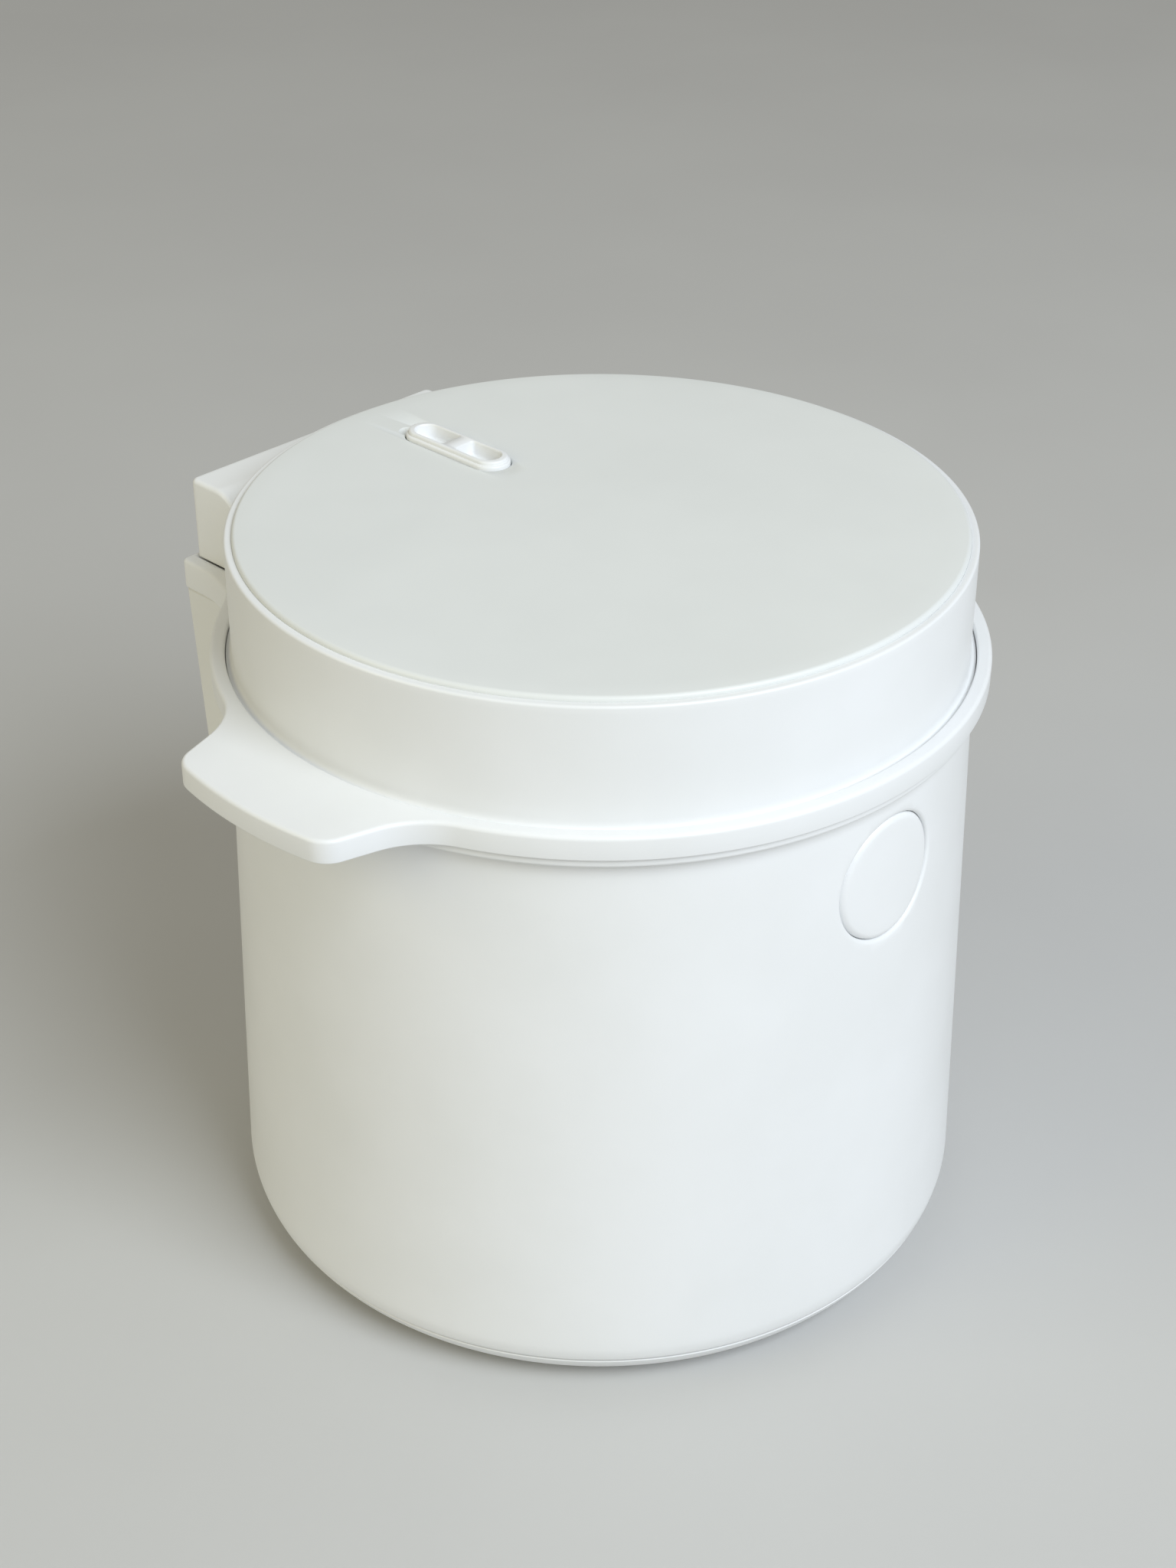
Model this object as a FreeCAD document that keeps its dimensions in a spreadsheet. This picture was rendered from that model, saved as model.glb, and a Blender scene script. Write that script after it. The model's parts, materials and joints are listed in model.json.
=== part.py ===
"""Hinged-lid rice cooker: a parametric assembly in millimetres.

+Z is up, the open button faces -Y and the lid hinge is at +Y. The origin is on the body's axis, on the
surface that the foot ring stands on. Radii are built outwards from the pot, and heights upwards from the
foot ring.
"""
import FreeCAD, Part
import math
import os
import re

import Sketcher
from FreeCAD import Placement, Rotation, Vector

# Driving sizes, each with the thing that it measures
SIZES = [
    # pot and the spaces round it
    ("pot_radius", 97, "outside of the inner pot"),
    ("pot_wall", 2, "wall of the inner pot"),
    ("pot_round", 16, "outer rounding at the pot's foot"),
    ("pot_depth", 121.2, "pot foot to the underside of its flange"),
    ("pot_flange_width", 9, "pot flange beyond the pot wall"),
    ("pot_flange_thickness", 2, "pot flange"),
    ("pot_seat_gap", 1, "pot flange to the edge of its seat"),
    ("pot_lift", 0.4, "pot flange above its seat, as the pot stands on the heating plate"),
    ("ring_bore_gap", 3.5, "pot wall to the bore of the rim ring"),
    ("liner_gap", 4.5, "pot wall to the liner"),
    ("liner_wall", 1, "sheet of the liner"),
    ("liner_flange_width", 2.7, "liner flange under the rim ring"),
    ("liner_floor_hole", 46, "radius of the opening in the liner's floor"),
    ("wall_space", 14.8, "liner to the body shell, room for the latch"),
    # body shell and base
    ("body_wall", 2.5, "wall of the body shell"),
    ("body_flare", 6, "how much wider the body is at its foot than at its flange"),
    ("body_round", 18, "rounding where the side wall turns under"),
    ("body_height", 204.5, "rest surface to the underside of the body flange"),
    ("flange_overhang", 3.9, "body flange beyond the wall"),
    ("flange_lip", 4.3, "body flange inside the wall"),
    ("flange_thickness", 2.5, "body flange"),
    ("seam_gap", 0.4, "shadow gap at a moulded seam"),
    ("seam_height", 13, "top edge of the base cover"),
    ("base_floor", 2.5, "floor of the base cover"),
    ("base_lip", 1.8, "locating lip of the base cover"),
    ("base_lip_height", 5, "locating lip above the seam"),
    ("base_side_height", 8.5, "inner corner of the base cover above its underside"),
    ("foot_height", 1.5, "foot ring below the base cover"),
    ("foot_sink", 1, "foot ring let into the base cover"),
    ("foot_inset", 7.8, "foot ring inside the start of the body's rounding"),
    ("foot_width", 8, "width of the foot ring"),
    ("slot_count", 10, "air slots in the base"),
    ("slot_inset", 10, "outer end centre of an air slot inside the foot ring"),
    ("slot_length", 20, "length of an air slot between its end centres"),
    ("slot_width", 5, "width of an air slot"),
    ("screw_inset", 3.8, "base screws inside the start of the body's rounding"),
    ("screw_radius", 2, "shank of a screw"),
    ("screw_length", 12, "shank length of a screw"),
    ("screw_head_radius", 3.6, "head of a screw"),
    ("screw_head_height", 1.6, "head of a screw"),
    ("screw_fit", 0.05, "radial play round a screw, pin or rivet"),
    ("boss_radius", 3.7, "screw boss in the body shell"),
    ("boss_height", 34, "screw boss in the body shell"),
    ("boss_web", 3, "web that ties a boss to the wall"),
    # rim ring, ears and hinge pedestal
    ("ring_overhang", 5.3, "rim ring beyond the top of the body wall"),
    ("ring_height", 7.6, "outer edge of the rim ring and its ears"),
    ("ring_edge_round", 1.6, "rounding of the rim ring's outer edges"),
    ("ring_seat_gap", 0.3, "seat of the rim ring inside the top of the wall"),
    ("rim_lip_width", 4.7, "raised outer lip of the rim ring"),
    ("rim_lip_height", 3.5, "raised outer lip above the ledge"),
    ("pot_step", 2.7, "pot seat below the ledge"),
    ("ear_length", 24.9, "outer edge of an ear beyond the ring"),
    ("ear_root_half", 41.3, "half the width of an ear where it leaves the ring"),
    ("ear_tip_half", 32.8, "half the width of an ear at its outer edge"),
    ("ear_fillet", 28, "hollow where an ear runs into the ring"),
    ("ear_corner", 9, "outer corner of an ear"),
    ("pedestal_half", 59.5, "half the width of the hinge pedestal"),
    ("pedestal_margin", 2.2, "pedestal behind the hinge block"),
    ("pedestal_corner", 4, "rear corner of the pedestal"),
    ("pedestal_fillet", 8, "hollow where the pedestal runs into the ring"),
    ("pedestal_ramp", 15, "slope from the ring's lip down to the pedestal, front to rear"),
    ("pedestal_skirt", 6.4, "band of the pedestal below the ring"),
    ("skirt_inset", 0.3, "band inside the outline of the pedestal"),
    ("skirt_gap", 0.4, "band of the pedestal to the flange of the body"),
    ("trough_gap", 0.8, "play round the hinge block in the trough of the pedestal"),
    ("gate_play", 1.5, "opening of the ring's lip beside the hinge block"),
    ("drain_radius", 2.5, "drain from the trough to the condensate cup"),
    # lid
    ("lid_groove", 2.2, "groove between the lid and the lip of the ring"),
    ("lid_gap", 0.5, "lid above the ledge of the ring"),
    ("lid_height", 41.2, "height of the lid wall"),
    ("lid_draft", 0.2, "how much wider the lid is at its foot"),
    ("lid_wall", 2.5, "wall of the lid"),
    ("lid_edge_round", 0.8, "rounding of the lid's top edge"),
    ("lid_rim_width", 2.6, "flat edge of the lid round its top panel"),
    ("lid_shelf", 2.7, "shelf for the top panel below the lid's edge"),
    ("lid_shelf_width", 4.3, "width of the shelf"),
    ("lid_shelf_thickness", 2, "thickness of the shelf"),
    ("lid_boss_radius", 4, "screw boss in the lid"),
    ("panel_gap", 0.4, "groove round the top panel"),
    ("panel_rise", 1.5, "top panel above the lid's edge"),
    ("panel_thickness", 2.2, "top panel"),
    ("panel_round", 1.2, "rounding of the top panel's edge"),
    ("panel_skirt", 2.4, "skirt that stands on the shelf"),
    ("block_half", 54.5, "half the width of the hinge block"),
    ("block_corner", 2.5, "rear corners of the hinge block"),
    ("block_hollow", 10, "hollow where the hinge block runs into the lid wall"),
    ("block_wall", 2.5, "wall of the hinge block"),
    ("block_flat", 13.5, "flat top of the hinge block, front to rear"),
    ("scoop_round", 10, "rounding where the flat top turns down towards the lid"),
    ("scoop_angle", 40, "slope of the scoop in degrees"),
    # hinge
    ("hinge_setback", 10.8, "hinge axis behind the foot of the lid wall"),
    ("hinge_rise", 14, "hinge axis above the rim ring"),
    ("block_rear", 10.5, "rear of the hinge block behind the axis"),
    ("block_crown", 11.6, "top of the hinge block above the axis"),
    ("hinge_pin_radius", 2, "hinge pin"),
    ("lug_inner", 30, "inner face of a hinge lug from the middle"),
    ("lug_width", 7, "width of a hinge lug"),
    ("lug_radius", 5.5, "round top of a hinge lug"),
    ("lug_play", 0.5, "play beside and round a hinge lug"),
    ("rib_width", 4, "ribs of the block that ride on the pin"),
    ("rib_lift", 6, "foot of the ribs above the foot of the block"),
    ("spring_wire", 0.8, "radius of the hinge spring's wire"),
    ("spring_gap", 0.3, "hinge spring to the hinge pin"),
    ("spring_pitch", 3.4, "hinge spring, from turn to turn"),
    ("spring_turns", 5, "hinge spring"),
    # steam vent
    ("vent_offset", 3.4, "middle of the vent to the side of the centre line"),
    ("vent_inset", 46.2, "middle of the vent inside the top panel's rear edge"),
    ("vent_half_length", 15.5, "half the distance between the round ends' centres"),
    ("vent_radius", 6.6, "round ends of the vent cap"),
    ("vent_proud", 2.4, "vent cap above the top panel"),
    ("vent_step", 0.9, "upper tier inside the lower one"),
    ("vent_step_height", 1.3, "upper tier of the vent cap"),
    ("vent_depth", 7, "vent cap below the top panel's face"),
    ("vent_gap", 0.4, "play round the vent cap"),
    ("well_radius", 4.2, "round ends of a vent well"),
    ("well_half", 4.8, "half the distance between a well's end centres"),
    ("well_depth", 4.6, "depth of a vent well"),
    ("well_spacing", 9.6, "middle of a well from the middle of the cap"),
    ("steam_hole", 1.6, "radius of a steam hole"),
    ("notch_offset", 1.6, "middle of the finger notch to the side of the vent's middle"),
    ("notch_width", 7, "finger notch behind the vent cap"),
    ("notch_depth", 1.2, "finger notch"),
    ("duct_radius", 5.6, "outside of the steam duct"),
    ("duct_wall", 1.4, "wall of the steam duct"),
    ("duct_flange", 3.5, "flange of the steam duct on the lid frame"),
    ("duct_flange_thickness", 2, "flange of the steam duct"),
    ("seal_height", 2, "vent seal"),
    ("seal_width", 2.2, "vent seal"),
    # lid inside
    ("frame_flange", 3, "flange of the lid frame"),
    ("frame_gap", 0.5, "gasket to the well of the lid frame"),
    ("frame_edge_gap", 0.66, "lid frame to the foot of the lid wall"),
    ("frame_lift", 0.3, "lid frame above the foot of the lid wall"),
    ("frame_well", 14, "depth of the well in the lid frame"),
    ("frame_wall", 1.8, "wall of the lid frame"),
    ("lid_screw_inset", 3.94, "lid screws inside the edge of the lid frame"),
    ("lid_screw_sink", 1.4, "recess for the head of a lid screw"),
    ("gasket_overlap", 6, "gasket beyond the pot wall"),
    ("gasket_width", 8, "gasket, inside to outside"),
    ("gasket_height", 4.5, "gasket"),
    ("gasket_gap", 0.3, "gasket above the pot flange"),
    ("gasket_grip", 4, "inner lid plate held in the gasket"),
    ("inner_plate", 1, "inner lid plate"),
    ("inner_plate_lift", 1.7, "inner lid plate above the foot of the gasket"),
    ("steam_port_count", 6, "steam ports in the inner lid plate"),
    ("steam_port_circle", 5, "radius that the steam ports stand on"),
    ("clip_radius", 4, "stem of the inner lid's clip"),
    ("clip_head", 9, "head of the inner lid's clip"),
    ("clip_head_height", 2.5, "head of the inner lid's clip"),
    # button and latch
    ("button_radius", 20.9, "open button"),
    ("button_gap", 0.5, "groove round the open button"),
    ("button_drop", 30.5, "middle of the button below the body flange"),
    ("button_thickness", 4.8, "open button at its middle"),
    ("button_round", 0.8, "rounding of the button's front edge"),
    ("button_relief", 2.4, "relief in the button's back for the latch"),
    ("button_travel", 2.5, "travel of the button"),
    ("stem_radius", 4, "push stem behind the button"),
    ("stem_dome", 3.4, "rounding of the stem's tip"),
    ("stem_play", 0.06, "radial play of the stem in its guide"),
    ("stem_past", 0.3, "stem past the guide plate"),
    ("guide_plate", 1.5, "guide plate behind the button"),
    ("guide_gap", 0.8, "button at the end of its travel to the guide plate"),
    ("guide_half_width", 25.5, "half the width of the guide plate"),
    ("guide_height", 20, "height of the guide plate"),
    ("guide_leg", 2.5, "legs of the guide plate"),
    ("guide_clear", 0.2, "legs of the guide plate to the wall"),
    ("push_gap", 0.3, "stem to the latch lever"),
    ("latch_arm", 15, "latch pin above the button's middle"),
    ("latch_half_width", 6, "half the width of the latch lever"),
    ("lever_thickness", 2.5, "lower arm of the latch lever"),
    ("lever_front", 0.1, "outer face of the lower arm before the latch pin"),
    ("lever_tail", 4, "lower arm past the button's middle"),
    ("hook_top", 13, "top of the hook above the latch pin"),
    ("hook_height", 2.5, "nose of the hook"),
    ("hook_setback", 3.8, "outer face of the hook before the latch pin"),
    ("hook_arm", 2, "upper arm of the latch lever"),
    ("hook_nose", 0.8, "nose of the hook beyond its arm"),
    ("hub_radius", 3.4, "hub of the latch lever"),
    ("latch_pin_radius", 1.5, "latch pin"),
    ("cheek_gap", 4.5, "latch lever to a cheek of its bracket"),
    ("cheek", 2.5, "cheek of the latch bracket"),
    ("cheek_drop", 5, "cheek below the latch pin"),
    ("cheek_front", 1.4, "cheek before the latch pin"),
    ("bracket_back", 3.1, "front of the bracket's back wall behind the latch pin"),
    ("bracket_wall", 1.5, "back wall of the latch bracket"),
    ("bracket_rise", 4.6, "foot of the back wall above the latch pin"),
    ("latch_wire", 0.35, "radius of the latch spring's wire"),
    ("latch_coil", 2.6, "latch spring, middle of the wire"),
    ("latch_pitch", 1.3, "latch spring, from turn to turn"),
    ("latch_turns", 2, "latch spring"),
    ("catch_half_width", 7, "half the width of the lid catch"),
    ("catch_front", 0.5, "front face of the catch behind the latch pin"),
    ("catch_thickness", 2.2, "lid catch"),
    ("catch_tooth", 0.8, "tooth at the foot of the lid catch"),
    ("catch_tooth_height", 2.5, "tooth at the foot of the lid catch"),
    ("catch_foot", 7, "foot of the lid catch above the latch pin"),
    ("window_half", 9, "half the width of the catch window in the ring"),
    ("window_front", 5.5, "front of the catch window before the latch pin"),
    # heating
    ("plate_inset", 1, "heating plate inside the flat of the pot's foot"),
    ("plate_thickness", 9, "heating plate"),
    ("plate_bore", 14, "bore of the heating plate for the sensor"),
    ("element_inset", 22, "middle of the heating element inside the plate's edge"),
    ("element_radius", 3.6, "tube of the heating element"),
    ("element_play", 0.1, "heating element in its groove"),
    ("element_turn", 310, "how far round the heating element goes, in degrees"),
    ("terminal_length", 7, "ends of the heating element"),
    ("spacer_height", 8, "spacers under the heating plate"),
    ("spacer_radius", 5, "spacers under the heating plate"),
    ("spacer_inset", 8, "middle of a spacer inside the plate's edge"),
    ("spacer_count", 3, "spacers under the heating plate"),
    ("sensor_radius", 13.2, "head of the bottom sensor"),
    ("sensor_head", 4, "head of the bottom sensor"),
    ("sensor_gap", 0.3, "sensor below the pot"),
    ("sensor_stem", 5, "radius of the sensor's stem"),
    ("sensor_tail", 7, "sensor stem below its bracket"),
    ("sensor_clip", 7, "radius of the stop at the stem's foot"),
    ("sensor_clip_height", 1.2, "stop at the stem's foot"),
    ("sensor_play", 0.08, "radial play of the stem in its bracket"),
    ("bracket_half_length", 44, "sensor bracket, between its end centres"),
    ("bracket_half_width", 12, "sensor bracket"),
    ("bracket_thickness", 1, "sensor bracket"),
    ("coil_wire", 0.5, "radius of the sensor spring's wire"),
    ("coil_radius", 8, "sensor spring, middle of the wire"),
    ("coil_turns", 4, "sensor spring"),
    ("fuse_radius", 2.2, "thermal fuse"),
    ("fuse_length", 14, "thermal fuse"),
    ("fuse_setback", 38, "thermal fuse from the axis"),
    # electronics
    ("board_width", 110, "power board, side to side"),
    ("board_depth", 70, "power board, front to rear"),
    ("board_thickness", 1.6, "circuit boards"),
    ("board_height", 18, "power board above the floor of the base cover"),
    ("board_setback", 12, "middle of the power board behind the axis"),
    ("post_radius", 3.5, "posts under the power board"),
    ("post_inset", 6, "posts from the edge of the power board"),
    ("relay_length", 20, "relay"),
    ("relay_width", 16, "relay"),
    ("relay_height", 16, "relay"),
    ("transformer_length", 40, "core of the transformer"),
    ("transformer_width", 26, "core of the transformer"),
    ("transformer_height", 30, "core of the transformer"),
    ("bobbin_margin", 4, "winding of the transformer beyond its core"),
    ("capacitor_radius", 6, "capacitors"),
    ("capacitor_height", 20, "capacitors"),
    ("carrier_half_width", 38, "half the width of the control carrier"),
    ("carrier_height", 60, "height of the control carrier"),
    ("carrier_drop", 8, "control carrier below the button, and its wells from one another"),
    ("carrier_depth", 8.2, "control carrier at its middle"),
    ("carrier_gap", 0.3, "control carrier to the wall"),
    ("display_half_width", 24, "display well in the carrier"),
    ("display_height", 16, "display well in the carrier"),
    ("key_radius", 6, "key wells in the carrier"),
    ("key_spacing", 18, "key wells in the carrier"),
    # power inlet
    ("inlet_height", 46, "middle of the power inlet above the rest surface"),
    ("inlet_half_width", 14, "half the width of the inlet's body"),
    ("inlet_half_height", 10.5, "half the height of the inlet's body"),
    ("inlet_depth", 22, "inlet's body behind its flange"),
    ("inlet_proud", 1, "inlet's face outside the wall"),
    ("inlet_flange", 3, "inner flange of the inlet beyond its body"),
    ("inlet_flange_thickness", 2, "inner flange of the inlet"),
    ("inlet_wall", 2, "wall round the inlet's socket"),
    ("inlet_socket", 17, "depth of the inlet's socket"),
    ("inlet_corner", 3, "corners of the inlet"),
    ("inlet_gap", 0.3, "inlet's body in the wall"),
    ("pin_half_thickness", 1, "half the thickness of an inlet pin"),
    ("pin_half_height", 2, "half the height of an inlet pin"),
    ("pin_length", 13, "inlet pin in the socket"),
    ("pin_tail", 8, "inlet pin behind the socket"),
    ("pin_spacing", 7, "inlet pins, from the middle"),
    ("pin_rise", 2, "middle inlet pin above the others"),
    # condensate cup
    ("cup_half", 58.4, "half the width of the condensate cup at its top"),
    ("cup_inset", 0.8, "rear of the cup inside the pedestal's rear"),
    ("cup_height", 70, "height of the condensate cup"),
    ("cup_wall", 2, "wall of the condensate cup"),
    ("cup_floor", 2.5, "floor of the condensate cup"),
    ("cup_gap", 0.5, "condensate cup to the body and the pedestal"),
    ("cup_taper", 1.6, "slope of the cup's sides in degrees"),
    ("cup_round", 5, "rear bottom edge of the cup"),
    ("cup_corner", 6.5, "upright rear edges of the cup"),
]

doc = FreeCAD.newDocument("rice_cooker")
sheet = doc.addObject("Spreadsheet::Sheet", "Sizes")
for row, (alias, value, meaning) in enumerate(SIZES, start=1):
    sheet.set("A%d" % row, meaning)
    sheet.set("B%d" % row, str(value))
    sheet.setAlias("B%d" % row, alias)
doc.recompute()
ALIASES = {alias for alias, value, meaning in SIZES}
PARTS = []


def bound(formula):
    """The formula with each size's name tied to its cell."""
    def cell(word):
        return "Sizes." + word.group() if word.group() in ALIASES else word.group()

    return re.sub(r"[a-z_]+", cell, formula)


def number(formula):
    """What a formula comes to with the sheet's present values."""
    return float(sheet.evalExpression(bound(formula)))


def minus(formula):
    """The same length, the other way."""
    return "-(%s)" % formula


# Radii, built outwards from the pot
LINER_INNER = "(pot_radius + liner_gap)"
LINER_OUTER = "(pot_radius + liner_gap + liner_wall)"
BODY_TOP = "(%s + wall_space + body_wall)" % LINER_OUTER
BODY_BOTTOM = "(%s + body_flare)" % BODY_TOP
FLANGE_OUTER = "(%s + flange_overhang)" % BODY_TOP
FLANGE_INNER = "(%s - body_wall - flange_lip)" % BODY_TOP
RING_OUTER = "(%s + ring_overhang)" % BODY_TOP
LIP_INNER = "(%s - rim_lip_width)" % RING_OUTER
RING_BORE = "(pot_radius + ring_bore_gap)"
POT_FLANGE = "(pot_radius + pot_flange_width)"
POT_SEAT = "(%s + pot_seat_gap)" % POT_FLANGE
LID_FOOT = "(%s - lid_groove)" % LIP_INNER
LID_CROWN = "(%s - lid_draft)" % LID_FOOT
PANEL_OUTER = "(%s - lid_rim_width - panel_gap)" % LID_CROWN
GASKET_OUTER = "(pot_radius + gasket_overlap)"
GASKET_INNER = "(%s - gasket_width)" % GASKET_OUTER
FRAME_WELL = "(%s + frame_gap)" % GASKET_OUTER
FRAME_OUTER = "(%s - lid_wall - frame_edge_gap)" % LID_FOOT
VENT_BACK = "(%s - vent_inset)" % PANEL_OUTER
PLATE_OUTER = "(pot_radius - pot_round - plate_inset)"
ELEMENT_CIRCLE = "(%s - element_inset)" % PLATE_OUTER
SPACER_CIRCLE = "(%s - spacer_inset)" % PLATE_OUTER

# Heights, built upwards from the rest surface
BASE_FLOOR = "(foot_height + base_floor)"
ROUND_HEIGHT = "(foot_height + body_round)"
ROUND_RADIUS = "(%s - body_round)" % BODY_BOTTOM
FLANGE_TOP = "(body_height + flange_thickness)"
RING_FOOT = "(%s + seam_gap)" % FLANGE_TOP
RING_TOP = "(%s + ring_height)" % RING_FOOT
LEDGE = "(%s - rim_lip_height)" % RING_TOP
SEAT = "(%s - pot_step)" % LEDGE
POT_RIM = "(%s + pot_lift)" % SEAT
POT_TOP = "(%s + pot_flange_thickness)" % POT_RIM
POT_FOOT = "(%s - pot_depth)" % POT_RIM
PLATE_FOOT = "(%s - plate_thickness)" % POT_FOOT
LINER_FLOOR = "(%s - spacer_height)" % PLATE_FOOT
LINER_FOOT = "(%s - liner_wall)" % LINER_FLOOR
LID_BOTTOM = "(%s + lid_gap)" % LEDGE
LID_TOP = "(%s + lid_height)" % LID_BOTTOM
SHELF = "(%s - lid_shelf)" % LID_TOP
PANEL_TOP = "(%s + panel_rise)" % LID_TOP
PANEL_FOOT = "(%s - panel_thickness)" % PANEL_TOP
FRAME_FOOT = "(%s + frame_lift)" % LID_BOTTOM
FRAME_FLANGE = "(%s + frame_flange)" % FRAME_FOOT
FRAME_ROOF = "(%s + frame_well)" % FRAME_FOOT
GASKET_FOOT = "(%s + gasket_gap)" % POT_TOP
INNER_PLATE = "(%s + inner_plate_lift)" % GASKET_FOOT
INNER_PLATE_TOP = "(%s + inner_plate)" % INNER_PLATE
BUTTON_HEIGHT = "(body_height - button_drop)"
LATCH_HEIGHT = "(%s + latch_arm)" % BUTTON_HEIGHT
BOARD_FOOT = "(%s + board_height)" % BASE_FLOOR
BOARD_TOP = "(%s + board_thickness)" % BOARD_FOOT

# Hinge axis, hinge block and the trough that the block's rear edge turns into
HINGE_BACK = "(%s + hinge_setback)" % LID_FOOT
HINGE_HEIGHT = "(%s + hinge_rise)" % RING_TOP
BLOCK_BACK = "(%s + block_rear)" % HINGE_BACK
BLOCK_TOP = "(%s + block_crown)" % HINGE_HEIGHT
BLOCK_FOOT = LID_BOTTOM
TROUGH_RADIUS = "(sqrt(block_rear ^ 2 + (%s - %s) ^ 2) + trough_gap)" % (HINGE_HEIGHT, BLOCK_FOOT)
TROUGH_FLOOR = "(%s - %s)" % (HINGE_HEIGHT, TROUGH_RADIUS)
PEDESTAL_BACK = "(%s + pedestal_margin)" % BLOCK_BACK
HOLLOW_X = "(block_half + block_hollow)"
HOLLOW_Y = "sqrt((%s + block_hollow) ^ 2 - %s ^ 2)" % (LID_CROWN, HOLLOW_X)
MEET_X = "%s * %s / (%s + block_hollow)" % (HOLLOW_X, LID_CROWN, LID_CROWN)
MEET_Y = "%s * %s / (%s + block_hollow)" % (HOLLOW_Y, LID_CROWN, LID_CROWN)


def wall_radius(height):
    """Outer radius of the body shell's sloping wall at a height."""
    slope = "(%s - %s) / (body_height - %s)" % (BODY_BOTTOM, BODY_TOP, ROUND_HEIGHT)
    return "(%s + (body_height - %s) * %s)" % (BODY_TOP, height, slope)


def rounding_radius(height, radius):
    """Radius of the rounding at the body's foot at a height, for a rounding about the same centre."""
    return "(%s + sqrt((%s) ^ 2 - (%s - %s) ^ 2))" % (ROUND_RADIUS, radius, ROUND_HEIGHT, height)


# The latch stands off the wall's inside, beside the liner
WALL_AT_BUTTON = wall_radius(BUTTON_HEIGHT)
STEM_TIP = "(%s - button_thickness - button_travel - guide_gap - guide_plate - stem_past)" % WALL_AT_BUTTON
LATCH_AXIS = "(%s - push_gap - lever_front)" % STEM_TIP


def named(thing, label):
    """Give a finished sub-part its name and note it for the export."""
    thing.Label = label
    PARTS.append(thing)
    return thing


def new_body(label):
    """An empty body for one sub-part."""
    return named(doc.addObject("PartDesign::Body", label), label)


def sketch_on(body, plane, name, offset=None):
    """An empty sketch on one of the body's own planes, raised by a formula."""
    sketch = body.newObject("Sketcher::SketchObject", name)
    support = [feature for feature in body.Origin.OriginFeatures if feature.Role == plane][0]
    sketch.AttachmentSupport = (support, "")
    sketch.MapMode = "FlatFace"
    if offset is not None:
        sketch.setExpression("AttachmentOffset.Base.z", bound(offset))
    return sketch


def tie(sketch, constraint, formula):
    """Add one sized constraint and bind it to a formula."""
    index = sketch.addConstraint(constraint)
    name = "size_%d" % index
    sketch.renameConstraint(index, name)
    sketch.setExpression("Constraints." + name, bound(formula))


def pin_point(sketch, piece, end, x, y):
    """Hold one point of the sketch at two formulas."""
    for kind, formula, axis in (("DistanceX", x, -2), ("DistanceY", y, -1)):
        if formula == "0":
            sketch.addConstraint(Sketcher.Constraint("PointOnObject", piece, end, axis))
        else:
            tie(sketch, Sketcher.Constraint(kind, -1, 1, piece, end, number(formula)), formula)


def outline(sketch, points):
    """A closed outline. A point is (x, y), or (x, y, radius, side) when an arc leads to it.

    The side is +1 where the arc bulges to the left on the way and -1 where it bulges to the right.
    """
    corners = [Vector(number(point[0]), number(point[1]), 0) for point in points]
    ends = []
    for index, point in enumerate(points):
        start = corners[index - 1]
        finish = corners[index]
        if len(point) == 2:
            piece = sketch.addGeometry(Part.LineSegment(start, finish), False)
            ends.append((piece, 1, 2))
            continue
        radius = number(point[2])
        side = point[3]
        chord = finish - start
        left = Vector(-chord.y, chord.x, 0).normalize()
        drop = math.sqrt(radius ** 2 - (chord.Length / 2) ** 2)
        centre = (start + finish) * 0.5 - left * (side * drop)
        first, last = (start, finish) if side < 0 else (finish, start)
        circle = Part.Circle(centre, Vector(0, 0, 1), radius)
        turn = [math.atan2(place.y - centre.y, place.x - centre.x) for place in (first, last)]
        piece = sketch.addGeometry(Part.ArcOfCircle(circle, turn[0], turn[1]), False)
        ends.append((piece, 1, 2) if side < 0 else (piece, 2, 1))
    for index, (piece, start, finish) in enumerate(ends):
        following = ends[(index + 1) % len(ends)]
        sketch.addConstraint(Sketcher.Constraint("Coincident", piece, finish, following[0], following[1]))
        pin_point(sketch, piece, finish, points[index][0], points[index][1])
        if len(points[index]) > 2:
            tie(sketch, Sketcher.Constraint("Radius", piece, number(points[index][2])), points[index][2])
    return sketch


def circles(sketch, rounds):
    """Circles given as (x, y, radius) formulas."""
    for x, y, radius in rounds:
        shape = Part.Circle(Vector(number(x), number(y), 0), Vector(0, 0, 1), number(radius))
        piece = sketch.addGeometry(shape, False)
        pin_point(sketch, piece, 3, x, y)
        tie(sketch, Sketcher.Constraint("Radius", piece, number(radius)), radius)
    return sketch


def rectangle(sketch, left, bottom, right, top):
    """An upright rectangle between formulas."""
    return outline(sketch, [(left, bottom), (right, bottom), (right, top), (left, top)])


def stadium(sketch, x, y, half_length, radius):
    """A slot along the sketch's Y with round ends, each made of two quarter turns."""
    low = "(%s) - (%s)" % (y, half_length)
    high = "(%s) + (%s)" % (y, half_length)
    left = "(%s) - (%s)" % (x, radius)
    right = "(%s) + (%s)" % (x, radius)
    return outline(sketch, [
        (right, high), (x, "%s + (%s)" % (high, radius), radius, -1), (left, high, radius, -1),
        (left, low), (x, "%s - (%s)" % (low, radius), radius, -1), (right, low, radius, -1)])


def extrude(body, kind, sketch, length, reverse=False, both=False, taper=None):
    """A Pad or Pocket of a sketch. A length of None goes through everything."""
    feature = body.newObject("PartDesign::" + kind, kind)
    feature.Profile = sketch
    if length is None:
        feature.Type = "ThroughAll"
    else:
        feature.setExpression("Length", bound(length))
    feature.Reversed = reverse
    if both:
        feature.SideType = "Symmetric"
    if taper is not None:
        feature.setExpression("TaperAngle", bound(taper))
    return settled(body, feature, kind == "Pad")


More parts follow.
